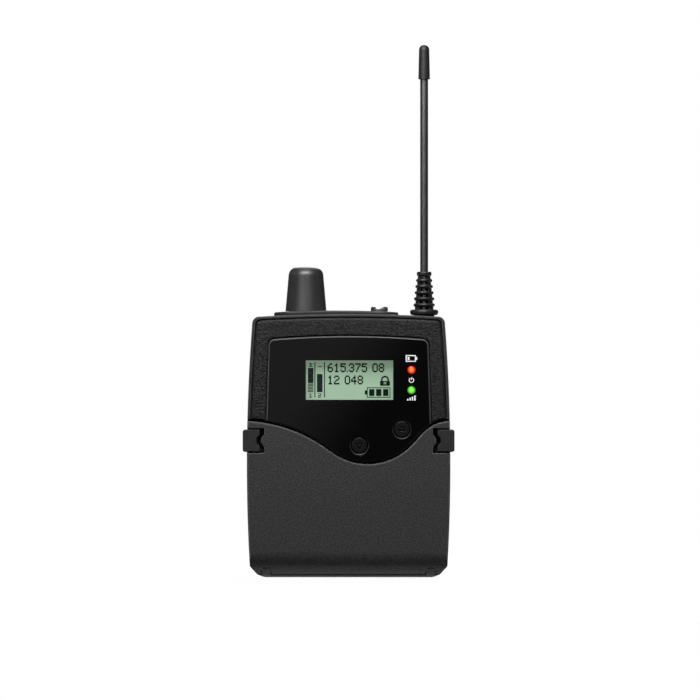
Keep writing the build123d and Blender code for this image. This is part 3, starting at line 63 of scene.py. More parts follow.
# ---- node material helpers -------------------------------------------------------------------
class Surface:
    """One procedural material: a Principled shader and short ways to wire nodes into it."""

    def __init__(self, name, color, roughness=0.5, metallic=0.0, specular=0.5):
        self.material = bpy.data.materials.new(name)
        self.material.use_nodes = True
        self.tree = self.material.node_tree
        self.shader = self.tree.nodes["Principled BSDF"]
        self.output = self.tree.nodes["Material Output"]
        self.shader.inputs["Base Color"].default_value = (*color, 1)
        self.shader.inputs["Roughness"].default_value = roughness
        self.shader.inputs["Metallic"].default_value = metallic
        self.shader.inputs["Specular IOR Level"].default_value = specular
        self.place = self.tree.nodes.new("ShaderNodeTexCoord").outputs["Object"]
        self.normal = None

    def link(self, a, b):
        self.tree.links.new(a, b)

    def math(self, kind, a, b=0.0, clamp=False):
        node = self.tree.nodes.new("ShaderNodeMath")
        node.operation, node.use_clamp = kind, clamp
        for socket, value in zip(node.inputs, (a, b)):
            if isinstance(value, (int, float)):
                socket.default_value = value
            else:
                self.link(value, socket)
        return node.outputs[0]

    def stretched(self, x, y, z):
        node = self.tree.nodes.new("ShaderNodeMapping")
        node.inputs["Scale"].default_value = (x, y, z)
        self.link(self.place, node.inputs["Vector"])
        return node.outputs[0]

    def axis(self, letter):
        node = self.tree.nodes.new("ShaderNodeSeparateXYZ")
        self.link(self.place, node.inputs[0])
        return node.outputs[letter]

    def facing(self, letter):
        """One component of the object-space normal."""
        node = self.tree.nodes.new("ShaderNodeSeparateXYZ")
        self.link(self.tree.nodes.new("ShaderNodeTexCoord").outputs["Normal"], node.inputs[0])
        return node.outputs[letter]

    def noise(self, size_mm, detail=3.0, rough=0.55, vector=None, distortion=0.0):
        node = self.tree.nodes.new("ShaderNodeTexNoise")
        node.inputs["Scale"].default_value = 1000.0 / size_mm
        node.inputs["Detail"].default_value = detail
        node.inputs["Roughness"].default_value = rough
        node.inputs["Distortion"].default_value = distortion
        self.link(vector or self.place, node.inputs["Vector"])
        return node.outputs["Fac"]

    def cells(self, size_mm, feature="F1", randomness=1.0, vector=None, smooth=0.0):
        node = self.tree.nodes.new("ShaderNodeTexVoronoi")
        node.feature = feature
        node.inputs["Scale"].default_value = 1000.0 / size_mm
        node.inputs["Randomness"].default_value = randomness
        if feature == "SMOOTH_F1":
            node.inputs["Smoothness"].default_value = smooth
        self.link(vector or self.place, node.inputs["Vector"])
        return node.outputs["Distance"]

    def between(self, value, low, high, out_low=0.0, out_high=1.0):
        node = self.tree.nodes.new("ShaderNodeMapRange")
        node.inputs["From Min"].default_value = low
        node.inputs["From Max"].default_value = high
        node.inputs["To Min"].default_value = out_low
        node.inputs["To Max"].default_value = out_high
        self.link(value, node.inputs["Value"])
        return node.outputs[0]

    def inside(self, value, low_mm, high_mm):
        """1 where a length lies between two limits."""
        above = self.math("GREATER_THAN", value, low_mm * MM)
        return self.math("MULTIPLY", above, self.math("LESS_THAN", value, high_mm * MM))

    def mix(self, factor, a, b):
        node = self.tree.nodes.new("ShaderNodeMix")
        node.data_type = "RGBA"
        self.link(factor, node.inputs["Factor"])
        for name, value in (("A", a), ("B", b)):
            socket = [s for s in node.inputs if s.name == name and s.type == "RGBA"][0]
            if isinstance(value, tuple):
                socket.default_value = (*value, 1)
            else:
                self.link(value, socket)
        return [s for s in node.outputs if s.type == "RGBA"][0]

    def bump(self, height, depth_mm, strength=1.0):
        node = self.tree.nodes.new("ShaderNodeBump")
        node.inputs["Strength"].default_value = strength
        node.inputs["Distance"].default_value = depth_mm * MM
        self.link(height, node.inputs["Height"])
        if self.normal is not None:
            self.link(self.normal, node.inputs["Normal"])
        self.normal = node.outputs["Normal"]
        self.link(self.normal, self.shader.inputs["Normal"])

    def rounded(self, radius_mm):
        """Soft, light-catching edges; used before any bump. The edge mask is 1 on an edge."""
        node = self.tree.nodes.new("ShaderNodeBevel")
        node.samples = 8
        node.inputs["Radius"].default_value = radius_mm * MM
        self.normal = node.outputs["Normal"]
        self.link(self.normal, self.shader.inputs["Normal"])
        dot = self.tree.nodes.new("ShaderNodeVectorMath")
        dot.operation = "DOT_PRODUCT"
        self.link(self.normal, dot.inputs[0])
        self.link(self.tree.nodes.new("ShaderNodeNewGeometry").outputs["Normal"], dot.inputs[1])
        self.edge = self.between(dot.outputs["Value"], 0.995, 0.85)

    def painted_edge_highlight(self, base, highlight_colour):
        """Painted edge highlight: paler colour on the edges, broken up by a patchy noise."""
        patch = self.between(self.noise(1.6, 4.0), 0.3, 0.6, 0.35, 1.0)
        return self.mix(self.math("MULTIPLY", self.edge, patch, clamp=True), base, highlight_colour)

    def set(self, socket, value):
        if isinstance(value, (int, float)):
            self.shader.inputs[socket].default_value = value
        else:
            self.link(value, self.shader.inputs[socket])


def shade(color, k):
    return tuple(c * k for c in color)


def moulded(
    name, color, roughness, grain_mm, depth_mm, spread=0.12, highlight_colour=None, specular=0.4, edge=0.12
):
    """Painted or moulded surface: fine grain, faint cloudy colour, paler edges as a painted
    highlight.
    """
    s = Surface(name, color, roughness, specular=specular)
    s.rounded(edge)
    grain = s.noise(grain_mm, 2.0, 0.6)
    cloud = s.noise(14.0, 3.0)
    speck = s.between(grain, 0.3, 0.7)
    tone = s.mix(speck, shade(color, 1 - spread), shade(color, 1 + spread))
    tone = s.mix(s.between(cloud, 0.3, 0.7, 0.0, 0.12), tone, shade(color, 1.25))
    # paler edges: a painted edge highlight
    if highlight_colour:
        tone = s.painted_edge_highlight(tone, highlight_colour)
    s.set("Base Color", tone)
    s.set("Roughness", s.between(cloud, 0.3, 0.7, roughness - 0.05, roughness + 0.06))
    s.bump(grain, depth_mm)
    return s


def metal(name, color, roughness, brushed_mm=0.25, along=(1, 1, 1), depth_mm=0.004):
    """Plated or drawn metal: fine lines along one direction, patches of duller plating."""
    s = Surface(name, color, roughness, metallic=1.0)
    lines = s.noise(brushed_mm, 2.0, 0.6, vector=s.stretched(*along))
    dull = s.noise(2.2, 4.0)
    s.set("Roughness", s.between(dull, 0.3, 0.7, roughness * 0.75, roughness * 1.35))
    s.set("Base Color", s.mix(s.between(lines, 0.3, 0.7), shade(color, 0.86), shade(color, 1.06)))
    s.bump(lines, depth_mm)
    return s


# ---- finishes --------------------------------------------------------------------------------
def painted_shell(name, color, highlight_colour):
    """Soft metallic paint over a fine eroded texture, with a painted highlight on its rounded
    side corners and edges.
    """
    s = Surface(name, color, 0.55, specular=0.25)
    s.rounded(0.3)
    fine = s.noise(0.5, 2.0, 0.65)
    fleck = s.cells(0.42)
    tone = s.mix(s.between(fine, 0.35, 0.65), shade(color, 0.55), shade(color, 1.4))
    tone = s.mix(s.between(fleck, 0.26, 0.04, 0.0, 0.8), tone, shade(color, 3.2))
    # painted highlight: paler colour where the rounded side corners turn partly sideways
    sideways = s.math("ABSOLUTE", s.facing("X"))
    corner = s.math("MULTIPLY", s.between(sideways, 0.3, 0.65), s.between(sideways, 0.98, 0.8))
    tone = s.mix(s.math("MULTIPLY", corner, 0.35), tone, highlight_colour)
    tone = s.painted_edge_highlight(tone, highlight_colour)
    s.set("Base Color", tone)
    s.set("Roughness", s.between(s.noise(18.0, 3.0), 0.3, 0.7, 0.53, 0.58))
    s.bump(fine, 0.045)
    s.bump(s.cells(0.5, "SMOOTH_F1", smooth=0.6), 0.03, 0.5)
    return s


housing = painted_shell("housing_paint", (0.016, 0.0163, 0.0168), (0.13, 0.13, 0.135))
cover = painted_shell("cover_paint", (0.026, 0.0263, 0.0268), (0.15, 0.15, 0.155))

bezel = Surface("bezel_grain", (0.008, 0.008, 0.0085), 0.5, specular=0.2)
bezel.rounded(0.12)
warp = bezel.stretched(1.0, 1.0, 1.3)
crease = bezel.cells(0.6, "DISTANCE_TO_EDGE", vector=warp)
pebble = bezel.noise(0.62, 2.0, 0.5, warp, 0.3)
grit = bezel.noise(0.3, 2.0, 0.6)
ridge = bezel.between(pebble, 0.38, 0.62)
bezel_tone = bezel.mix(ridge, (0.0005, 0.0005, 0.0005), (0.014, 0.014, 0.0145))
# paler edges: a painted edge highlight
bezel.set("Base Color", bezel.painted_edge_highlight(bezel_tone, (0.06, 0.06, 0.061)))
bezel.set("Roughness", bezel.between(grit, 0.3, 0.7, 0.42, 0.62))
bezel.bump(bezel.between(crease, 0.0, 0.25), 0.05, 0.6)
bezel.bump(ridge, 0.11)
bezel.bump(grit, 0.02)

deck = moulded(
    "deck_paint", (0.009, 0.009, 0.0095), 0.45, 0.5, 0.015, 0.2, (0.06, 0.06, 0.06),
    specular=0.25, edge=0.2,
)

panel = Surface("panel_gloss", (0.0018, 0.0018, 0.002), 0.04, specular=0.5)
smear = panel.noise(9.0, 4.0, 0.6, vector=panel.stretched(1.0, 1.0, 2.4))
# the bevel round the panel is less polished than its face; its paler colour is a painted
# highlight, greyer above the cover's edge and toned down below it
bevel = panel.between(panel.facing("Y"), -0.97, -0.85)
above_cover = panel.between(panel.axis("Z"), (COVER_EDGE_Z - 1.3) * MM, (COVER_EDGE_Z + 0.7) * MM)
bevel_highlight = panel.mix(above_cover, (0.012, 0.012, 0.012), (0.06, 0.06, 0.061))
panel.set("Base Color", panel.mix(bevel, (0.0018, 0.0018, 0.002), bevel_highlight))
polish = panel.between(smear, 0.4, 0.75, 0.025, 0.05)
panel.set("Roughness", panel.math("ADD", polish, panel.math("MULTIPLY", bevel, 0.4)))
scratch = panel.noise(0.5, 2.0, 0.5, vector=panel.stretched(0.05, 1.0, 1.0))
panel.bump(scratch, 0.0002)

window = Surface("window_clear", (1.0, 1.0, 1.0), 0.03)
clear = window.tree.nodes.new("ShaderNodeBsdfTransparent")
clear.inputs["Color"].default_value = (0.96, 0.985, 0.965, 1)
shine = window.tree.nodes.new("ShaderNodeBsdfGlossy")
window_polish = window.between(window.noise(7.0, 3.0), 0.35, 0.7, 0.02, 0.07)
window.link(window_polish, shine.inputs["Roughness"])
facing = window.tree.nodes.new("ShaderNodeFresnel")
facing.inputs["IOR"].default_value = 1.45
inside = window.tree.nodes.new("ShaderNodeNewGeometry").outputs["Backfacing"]
both = window.tree.nodes.new("ShaderNodeMixShader")
# only the outer side of each face reflects, as the light isn't bent inside the sheet
outside = window.math("SUBTRACT", 1.0, inside)
window.link(window.math("MULTIPLY", facing.outputs[0], outside), both.inputs[0])
window.link(clear.outputs[0], both.inputs[1])
window.link(shine.outputs[0], both.inputs[2])
window.link(both.outputs[0], window.output.inputs["Surface"])

lcd = Surface("display_green", (0.2, 0.27, 0.2), 0.35)
weave = lcd.cells(0.33, "F1", 0.0)
cloud = lcd.noise(16.0, 2.0)
tint = lcd.mix(lcd.between(cloud, 0.3, 0.7), (0.172, 0.238, 0.176), (0.196, 0.262, 0.2))
tint = lcd.mix(lcd.between(weave, 0.45, 0.6, 0.0, 0.25), tint, (0.14, 0.2, 0.15))
lcd.set("Base Color", tint)
# painted glow: the display gives off light in its own green, which lifts it and softens the shade
# in its recess
lcd.set("Emission Color", tint)
lcd.set("Emission Strength", 1.0)

ink = Surface("display_ink", (0.012, 0.03, 0.02), 0.4)
mottle = ink.between(ink.noise(0.5), 0.3, 0.7)
ink.set("Base Color", ink.mix(mottle, (0.003, 0.007, 0.005), (0.006, 0.012, 0.008)))
ink.set("Specular IOR Level", 0.1)

print_white = Surface("print_white", (0.8, 0.8, 0.8), 0.5)
screened = print_white.between(print_white.noise(0.25), 0.3, 0.7)
print_white.set("Base Color", print_white.mix(screened, (0.62, 0.62, 0.62), (0.74, 0.74, 0.74)))
print_white.bump(print_white.noise(0.2), 0.004)


def lamp(name, centre, core, ring, edge):
    """Lit lens: hot core, saturated ring and darker rim, by distance from the lens axis."""
    s = Surface(name, ring, 0.18)
    dx = s.math("SUBTRACT", s.axis("X"), centre[0] * MM)
    dz = s.math("SUBTRACT", s.axis("Z"), centre[1] * MM)
    square = s.math("ADD", s.math("MULTIPLY", dx, dx), s.math("MULTIPLY", dz, dz))
    distance = s.math("SQRT", square)
    inner = s.between(distance, 0.1 * MM, 0.85 * MM)
    outer = s.between(distance, 0.95 * MM, 1.3 * MM)
    glow = s.mix(outer, s.mix(inner, core, ring), edge)
    s.set("Base Color", s.mix(outer, shade(ring, 0.4), shade(edge, 0.6)))
    s.set("Emission Color", glow)
    s.set("Emission Strength", 0.95)
    return s


red_lamp = lamp(
    "lamp_red", (LAMP_X, RED_LAMP_Z), (1.0, 0.55, 0.04), (0.9, 0.02, 0.008), (0.16, 0.005, 0.003)
)
green_lamp = lamp(
    "lamp_green", (LAMP_X, GREEN_LAMP_Z), (0.6, 1.0, 0.12), (0.05, 0.55, 0.03), (0.01, 0.1, 0.008)
)

button = moulded("button_rubber", (0.004, 0.004, 0.0042), 0.35, 0.25, 0.006, 0.15, specular=0.2)
speckle = button.between(button.noise(0.25), 0.3, 0.7)
face = button.mix(speckle, (0.0035, 0.0035, 0.0037), (0.0055, 0.0055, 0.0057))
# paler edges: a painted edge highlight
face = button.painted_edge_highlight(face, (0.03, 0.03, 0.031))
# the triangle is sunk below the face; its groove is painted near black with little shine, a
# painted shade in the recess
groove_shade = button.between(
    button.axis("Y"), (BUTTON_FACE_Y + 0.06) * MM, (BUTTON_FACE_Y + 0.13) * MM
)
button.set("Base Color", button.mix(groove_shade, face, (0.0004, 0.0004, 0.0004)))
button.set("Specular IOR Level", button.between(groove_shade, 0.0, 1.0, 0.2, 0.02))


def circuit_board(name, copper, mask):
    """Solder mask over raised copper tracks."""
    s = Surface(name, mask, 0.3)
    track = s.cells(1.6, "DISTANCE_TO_EDGE", 0.25, s.stretched(1.0, 1.0, 0.5))
    s.set("Base Color", s.mix(s.between(track, 0.04, 0.09), copper, mask))
    s.bump(s.between(track, 0.04, 0.09), 0.01)
    return s


board = circuit_board("board_green", (0.05, 0.24, 0.09), (0.02, 0.11, 0.04))
front_board = circuit_board("board_black", (0.016, 0.017, 0.016), (0.006, 0.0065, 0.006))

screw = metal("screw_steel", (0.6, 0.6, 0.6), 0.3)
switch = metal("switch_metal", (0.55, 0.55, 0.53), 0.35)
infrared = moulded("infrared_black", (0.02, 0.006, 0.008), 0.12, 1.0, 0.002)
tray = moulded(
    "tray_plastic", (0.014, 0.014, 0.0145), 0.5, 0.3, 0.02, 0.15, (0.04, 0.04, 0.04), edge=0.15
)

# the two cells lie head to tail: along runs towards the positive end of each
cell = Surface("cell_jacket", (0.1, 0.1, 0.11), 0.32)
between_cells_z = LOWER_CELL_Z + CELL_PITCH / 2
is_upper = cell.math("GREATER_THAN", cell.axis("Z"), between_cells_z * MM)
end_sign = cell.math("SUBTRACT", cell.math("MULTIPLY", is_upper, 2.0), 1.0)
along = cell.math("MULTIPLY", cell.axis("X"), end_sign)
centre_z = cell.math("ADD", cell.math("MULTIPLY", is_upper, CELL_PITCH * MM), LOWER_CELL_Z * MM)
across = cell.math("SUBTRACT", cell.axis("Z"), centre_z)
film = cell.between(cell.noise(6.0, 3.0), 0.3, 0.7)
jacket = cell.mix(film, (0.075, 0.078, 0.085), (0.1, 0.103, 0.11))
jacket = cell.mix(cell.inside(along, 8.0, 25.0), jacket, (0.02, 0.1, 0.3))
jacket = cell.mix(cell.inside(along, 7.2, 8.4), jacket, (0.6, 0.61, 0.63))
upright = cell.math("MULTIPLY", cell.inside(along, 15.6, 16.4), cell.inside(across, -1.6, 1.6))
level_bar = cell.math("MULTIPLY", cell.inside(along, 14.4, 17.6), cell.inside(across, -0.4, 0.4))
minus = cell.math("MULTIPLY", cell.inside(along, -20.6, -17.4), cell.inside(across, -0.4, 0.4))
signs = cell.math("MAXIMUM", cell.math("MAXIMUM", upright, level_bar), minus)
jacket = cell.mix(signs, jacket, (0.75, 0.76, 0.78))
ends = cell.math("GREATER_THAN", cell.math("ABSOLUTE", cell.axis("X")), CELL_JACKET_X * MM)
cell.set("Base Color", cell.mix(ends, jacket, (0.55, 0.55, 0.56)))
cell.set("Metallic", ends)
cell.set("Roughness", cell.between(cell.noise(1.2, 4.0), 0.3, 0.7, 0.25, 0.4))
cell.bump(cell.noise(0.8, 3.0), 0.006)

nickel = metal("contact_nickel", (0.66, 0.63, 0.58), 0.28)
pin_steel = metal("pin_steel", (0.08, 0.08, 0.082), 0.35, 0.3, (0.05, 1, 1))
spring = metal("spring_steel", (0.5, 0.5, 0.5), 0.32)
catch = moulded(
    "catch_plastic", (0.018, 0.018, 0.0185), 0.5, 0.45, 0.014, 0.2, (0.05, 0.05, 0.052),
    specular=0.2,
)
tin = metal("shield_tin", (0.45, 0.45, 0.44), 0.42, 0.4)
chip = moulded("chip_black", (0.02, 0.02, 0.02), 0.5, 0.15, 0.006)
header = moulded("header_black", (0.02, 0.02, 0.02), 0.45, 0.2, 0.006)
black_screw = metal("screw_black", (0.05, 0.05, 0.052), 0.42)

knob = Surface("knob_soft", (0.012, 0.012, 0.0125), 0.42)
knob.rounded(0.2)
touch = knob.noise(0.6, 3.0, 0.7)
palm = knob.noise(9.0, 3.0)
tone = knob.mix(knob.between(touch, 0.3, 0.7), (0.006, 0.006, 0.0063), (0.016, 0.016, 0.0165))
# paler edges: a painted edge highlight
knob.set("Base Color", knob.painted_edge_highlight(tone, (0.05, 0.05, 0.051)))
knob.set("Roughness", knob.between(palm, 0.3, 0.7, 0.34, 0.42))
# its shoulder is duller than its side
knob.set("Specular IOR Level", knob.between(knob.facing("Z"), 0.15, 0.6, 0.75, 0.3))
knob.bump(touch, 0.04)

shaft = metal("shaft_brass", (0.6, 0.58, 0.52), 0.3, 0.2, (1, 1, 0.1))
nut = metal("nut_nickel", (0.6, 0.6, 0.58), 0.28)
pot = moulded("pot_body", (0.03, 0.03, 0.03), 0.45, 0.3, 0.01)
socket_body = moulded("socket_black", (0.018, 0.018, 0.018), 0.4, 0.3, 0.008)
# the collar's colour is painted darker down its sides and below its rolled top, a painted shade
# that leaves the top bright
collar = metal("collar_nickel", (0.5, 0.495, 0.485), 0.33, 0.8, (1.0, 1.0, 0.3), 0.001)
side = collar.between(collar.math("ABSOLUTE", collar.facing("X")), 0.4, 0.85)
low = collar.between(collar.axis("Z"), COLLAR_ROLL_Z * MM, (COLLAR_ROLL_Z - 0.6) * MM)
collar_shade = collar.math("MAXIMUM", side, low)
collar.set("Base Color", collar.mix(collar_shade, (0.5, 0.495, 0.485), (0.2, 0.198, 0.194)))
base = metal("base_brass", (0.035, 0.034, 0.033), 0.35, 0.15, (0.2, 0.2, 2.0))

rod = Surface("rod_coating", (0.1, 0.1, 0.102), 0.5, metallic=1.0)
rod.shader.inputs["Specular Tint"].default_value = (0.08, 0.08, 0.08, 1)
drawn = rod.noise(0.35, 3.0, 0.6, vector=rod.stretched(1.0, 1.0, 0.04))
streak = rod.between(drawn, 0.3, 0.7)
rod.set("Base Color", rod.mix(streak, (0.088, 0.088, 0.09), (0.094, 0.094, 0.096)))
rod.set("Roughness", rod.between(rod.noise(5.0, 3.0), 0.3, 0.7, 0.42, 0.49))
rod.bump(drawn, 0.001)

cap = moulded(
    "cap_plastic", (0.008, 0.008, 0.0084), 0.4, 0.4, 0.01, 0.15, (0.05, 0.05, 0.05), specular=0.27
)
boot = moulded(
    "boot_rubber", (0.006, 0.006, 0.0063), 0.4, 0.5, 0.01, 0.15, (0.02, 0.02, 0.02), specular=0.34
)
clip = metal("clip_steel", (0.06, 0.06, 0.062), 0.35, 0.25)
gold = metal("contact_gold", (0.85, 0.62, 0.25), 0.22)
label = moulded("label_film", (0.3, 0.3, 0.31), 0.4, 0.4, 0.004, 0.08)
label_ink = moulded("label_ink", (0.03, 0.03, 0.032), 0.5, 0.3, 0.002)
foam = moulded("foam_black", (0.015, 0.015, 0.015), 0.8, 0.35, 0.05)
white_frame = moulded("display_white", (0.7, 0.71, 0.69), 0.35, 0.5, 0.004, 0.03)
amber = moulded("flex_amber", (0.45, 0.2, 0.04), 0.25, 0.8, 0.003, 0.05)

finishes = {
    "rear_housing": housing,
    "front_bezel": bezel,
    "top_deck": deck,
    "control_panel": panel,
    "display_window": window,
    "display_gasket": foam,
    "display_frame": white_frame,
    "display_glass": lcd,
    "display_flex": amber,
    "red_status_lamp": red_lamp,
    "green_status_lamp": green_lamp,
    "up_button": button,
    "down_button": button,
    "set_button": button,
    "front_board": front_board,
    "front_board_screws": screw,
    "tact_switches": switch,
    "infrared_receiver": infrared,
    "battery_tray": tray,
    "upper_battery": cell,
    "lower_battery": cell,
    "battery_contacts": nickel,
    "battery_springs": nickel,
    "battery_cover": cover,
    "hinge_pins": pin_steel,
    "left_catch": catch,
    "right_catch": catch,
    "left_catch_spring": spring,
    "right_catch_spring": spring,
    "main_board": board,
    "shield_cans": tin,
    "main_chips": chip,
    "board_header": header,
    "case_screws": black_screw,
    "volume_knob": knob,
    "pot_shaft": shaft,
    "pot_nut": nut,
    "volume_pot": pot,
    "jack_socket": socket_body,
    "jack_terminals": nickel,
    "jack_collar": collar,
    "antenna_base": base,
    "antenna_rod": rod,
    "antenna_cap": cap,
    "antenna_boot": boot,
    "belt_clip": clip,
    "charging_contacts": gold,
    "rating_label": label,
}
for name, finish in finishes.items():
    mesh = nodes[name].data
    if not mesh.materials:
        mesh.materials.append(finish.material)
    for i in range(len(mesh.materials)):
        mesh.materials[i] = finish.material


# ---- printed and liquid-crystal marks --------------------------------------------------------
class Marks:
    """Thin plates that face the front, drawn in millimetres of the front view."""

    def __init__(self, front_y, thickness):
        self.mesh = bmesh.new()
        self.front, self.back = front_y * MM, (front_y + thickness) * MM

    def polygon(self, points):
        front = [self.mesh.verts.new((x * MM, self.front, z * MM)) for x, z in points]
        back = [self.mesh.verts.new((x * MM, self.back, z * MM)) for x, z in points]
        self.mesh.faces.new(front)
        self.mesh.faces.new(back[::-1])
        for i in range(len(points)):
            j = (i + 1) % len(points)
            self.mesh.faces.new((front[i], back[i], back[j], front[j]))

    def block(self, x, z, width, height):
        self.polygon([(x, z), (x + width, z), (x + width, z + height), (x, z + height)])

    def frame(self, x, z, width, height, line):
        self.block(x, z, width, line)
        self.block(x, z + height - line, width, line)
        self.block(x, z + line, line, height - 2 * line)
        self.block(x + width - line, z + line, line, height - 2 * line)

    def arc(self, x, z, radius, line, start, end, steps=20):
        around = [math.radians(start + (end - start) * i / steps) for i in range(steps + 1)]
        for a, b in zip(around, around[1:]):
            self.polygon(
                [
                    (x + radius * math.cos(a), z + radius * math.sin(a)),
                    (x + (radius + line) * math.cos(a), z + (radius + line) * math.sin(a)),
                    (x + (radius + line) * math.cos(b), z + (radius + line) * math.sin(b)),
                    (x + radius * math.cos(b), z + radius * math.sin(b)),
                ]
            )

    def dots(self, rows, x, z, pitch_x, pitch_z, fill=0.9):
        """Dot-matrix figure, its lower left corner at x, z."""
        for down, row in enumerate(rows):
            for across, dot in enumerate(row):
                if dot == "#":
                    low_z = z + (len(rows) - 1 - down) * pitch_z
                    self.block(x + across * pitch_x, low_z, pitch_x * fill, pitch_z * fill)

    def piece(self, name, body, finish):
        bmesh.ops.remove_doubles(self.mesh, verts=self.mesh.verts, dist=1e-9)
        bmesh.ops.recalc_face_normals(self.mesh, faces=self.mesh.faces)
        data = bpy.data.meshes.new(name)
        self.mesh.to_mesh(data)
        made = bpy.data.objects.new(name, data)
        scene.collection.objects.link(made)
        data.materials.append(finish.material)
        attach(made, body)


TALL_FIGURES = {
    "0": (".###.", "#...#", "#...#", "#...#", "#...#", "#...#", ".###."),
    "1": ("..#..", ".##..", "..#..", "..#..", "..#..", "..#..", ".###."),
    "2": (".###.", "#...#", "....#", "..##.", ".#...", "#....", "#####"),
    "3": (".###.", "#...#", "....#", "..##.", "....#", "#...#", ".###."),
    "4": ("...#.", "..##.", ".#.#.", "#..#.", "#####", "...#.", "...#."),
    "5": ("#####", "#....", "####.", "....#", "....#", "#...#", ".###."),
    "6": ("..##.", ".#...", "#....", "####.", "#...#", "#...#", ".###."),
    "7": ("#####", "....#", "...#.", "..#..", "..#..", ".#...", ".#..."),
    "8": (".###.", "#...#", "#...#", ".###.", "#...#", "#...#", ".###."),
}
SMALL_FIGURES = {
    "1": (".#.", "##.", ".#.", ".#.", "###"),
    "2": ("###", "..#", "###", "#..", "###"),
}

lcd_marks = Marks(GLASS_MARKS_Y, 0.02)
FIGURE_STEP, POINT_STEP, SPACE_STEP = 2.02, 0.62, 1.35


def write(text, x, z):
    for letter in text:
        if letter == ".":
            lcd_marks.block(x - 0.06, z, 0.42, 0.46)
            x += POINT_STEP
        elif letter == " ":
            x += SPACE_STEP
        else:
            lcd_marks.dots(TALL_FIGURES[letter], x, z, 0.335, 0.39, 1.3)
            x += FIGURE_STEP


write("615.375 08", -6.65, 64.6)
write("12 048", -6.65, 60.75)
# level meters between upright rules
for rule_x in (-10.75, -7.75):
    lcd_marks.block(rule_x, 56.7, 0.3, 11.1)
METER_Z, METER_STEP, METER_WIDTH = 58.35, 0.475, 1.75
for row in range(16):
    lcd_marks.block(-12.8, METER_Z + row * METER_STEP, METER_WIDTH, 0.465 if row > 5 else 0.28)
for row in range(12):
    lcd_marks.block(-9.95, METER_Z + row * METER_STEP, METER_WIDTH, 0.465)
lcd_marks.block(-12.45, 66.35, 1.1, 0.28)
lcd_marks.block(-12.05, 66.6, 0.32, 0.6)
lcd_marks.block(-12.5, 67.15, 1.2, 0.28)
lcd_marks.block(-9.5, 66.3, 1.1, 0.26)
lcd_marks.dots(SMALL_FIGURES["1"], -12.4, 56.6, 0.32, 0.28)
lcd_marks.dots(SMALL_FIGURES["2"], -9.55, 56.6, 0.32, 0.28)
# padlock
lcd_marks.arc(11.45, 62.25, 0.75, 0.5, 0, 180)
lcd_marks.block(10.2, 61.7, 0.5, 0.55)
lcd_marks.block(12.2, 61.7, 0.5, 0.55)
lcd_marks.block(9.9, 60.35, 1.15, 1.5)
lcd_marks.block(11.85, 60.35, 1.15, 1.5)
lcd_marks.block(11.05, 60.35, 0.8, 0.42)
lcd_marks.block(11.05, 61.45, 0.8, 0.4)
lcd_marks.block(11.3, 60.77, 0.3, 0.4)
# cell gauge
lcd_marks.frame(5.75, 56.6, 7.4, 3.25, 0.26)
lcd_marks.block(5.1, 57.55, 0.65, 1.35)
for step in range(3):
    lcd_marks.block(6.45 + step * 2.2, 57.15, 1.65, 2.15)
lcd_marks.piece("display_marks", "housing", ink)

printed = Marks(PANEL_MARKS_Y, 0.015)
# low cell
printed.frame(17.95, 67.9, 3.2, 2.1, 0.32)
printed.block(21.15, 68.5, 0.42, 0.9)
printed.block(18.55, 68.45, 0.62, 1.0)
# power
printed.arc(19.75, 62.1, 0.58, 0.26, 120, 420)
printed.block(19.62, 62.2, 0.26, 0.85)
# signal strength
for step in range(4):
    printed.block(18.35 + step * 0.75, 55.7, 0.45, 0.5 + step * 0.38)
printed.piece("lamp_symbols", "housing", print_white)

# blank fields of the rating label, on the back
fields = Marks(LABEL_MARKS_Y, 0.115)
fields.frame(-14.0, 57.0, 28.0, 14.0, 0.25)
fields.frame(-12.8, 66.2, 25.6, 3.6, 0.18)
fields.frame(-12.8, 62.2, 12.5, 3.0, 0.18)
fields.frame(0.3, 62.2, 12.5, 3.0, 0.18)
for row in range(3):
    fields.block(-12.8, 58.3 + row * 1.1, 25.6, 0.18)
fields.piece("label_fields", "housing", label_ink)


# ---- stage, lamps and camera -----------------------------------------------------------------
def stage_sheet(name, corners, material):
    data = bpy.data.meshes.new(name)
    data.from_pydata(corners, [], [(0, 1, 2, 3)])
    sheet = bpy.data.objects.new(name, data)
    scene.collection.objects.link(sheet)
    data.materials.append(material)
    return sheet


cover_lip = bpy.data.objects.new("cover_lip", None)
cover_lip.location = (0, -12.1 * MM, COVER_EDGE_Z * MM)
cover_lip.parent = frame["bodies"]["cover"]
scene.collection.objects.link(cover_lip)


def settle(sheet):
    """The stage lies lower where the open cover hangs below the standing height."""
    follow = sheet.constraints.new("COPY_LOCATION")
    follow.target = cover_lip
    follow.use_x = follow.use_y = False
    stop = sheet.constraints.new("LIMIT_LOCATION")
    stop.use_max_z = True
    stop.max_z = 0.0


def background_rays(tree):
    """1 for rays that should meet the white background: camera, glossy and transmission rays."""
    path = tree.nodes.new("ShaderNodeLightPath")
    total = path.outputs["Is Camera Ray"]
    for ray in ("Is Glossy Ray", "Is Transmission Ray"):
        add = tree.nodes.new("ShaderNodeMath")
        add.operation, add.use_clamp = "ADD", True
        tree.links.new(total, add.inputs[0])
        tree.links.new(path.outputs[ray], add.inputs[1])
        total = add.outputs[0]
    return total


floor_finish = Surface("floor_pale", (0.4, 0.4, 0.4), 0.7, specular=0.2)
tree = floor_finish.tree
bright = tree.nodes.new("ShaderNodeEmission")
bright.inputs["Color"].default_value = (1, 1, 1, 1)
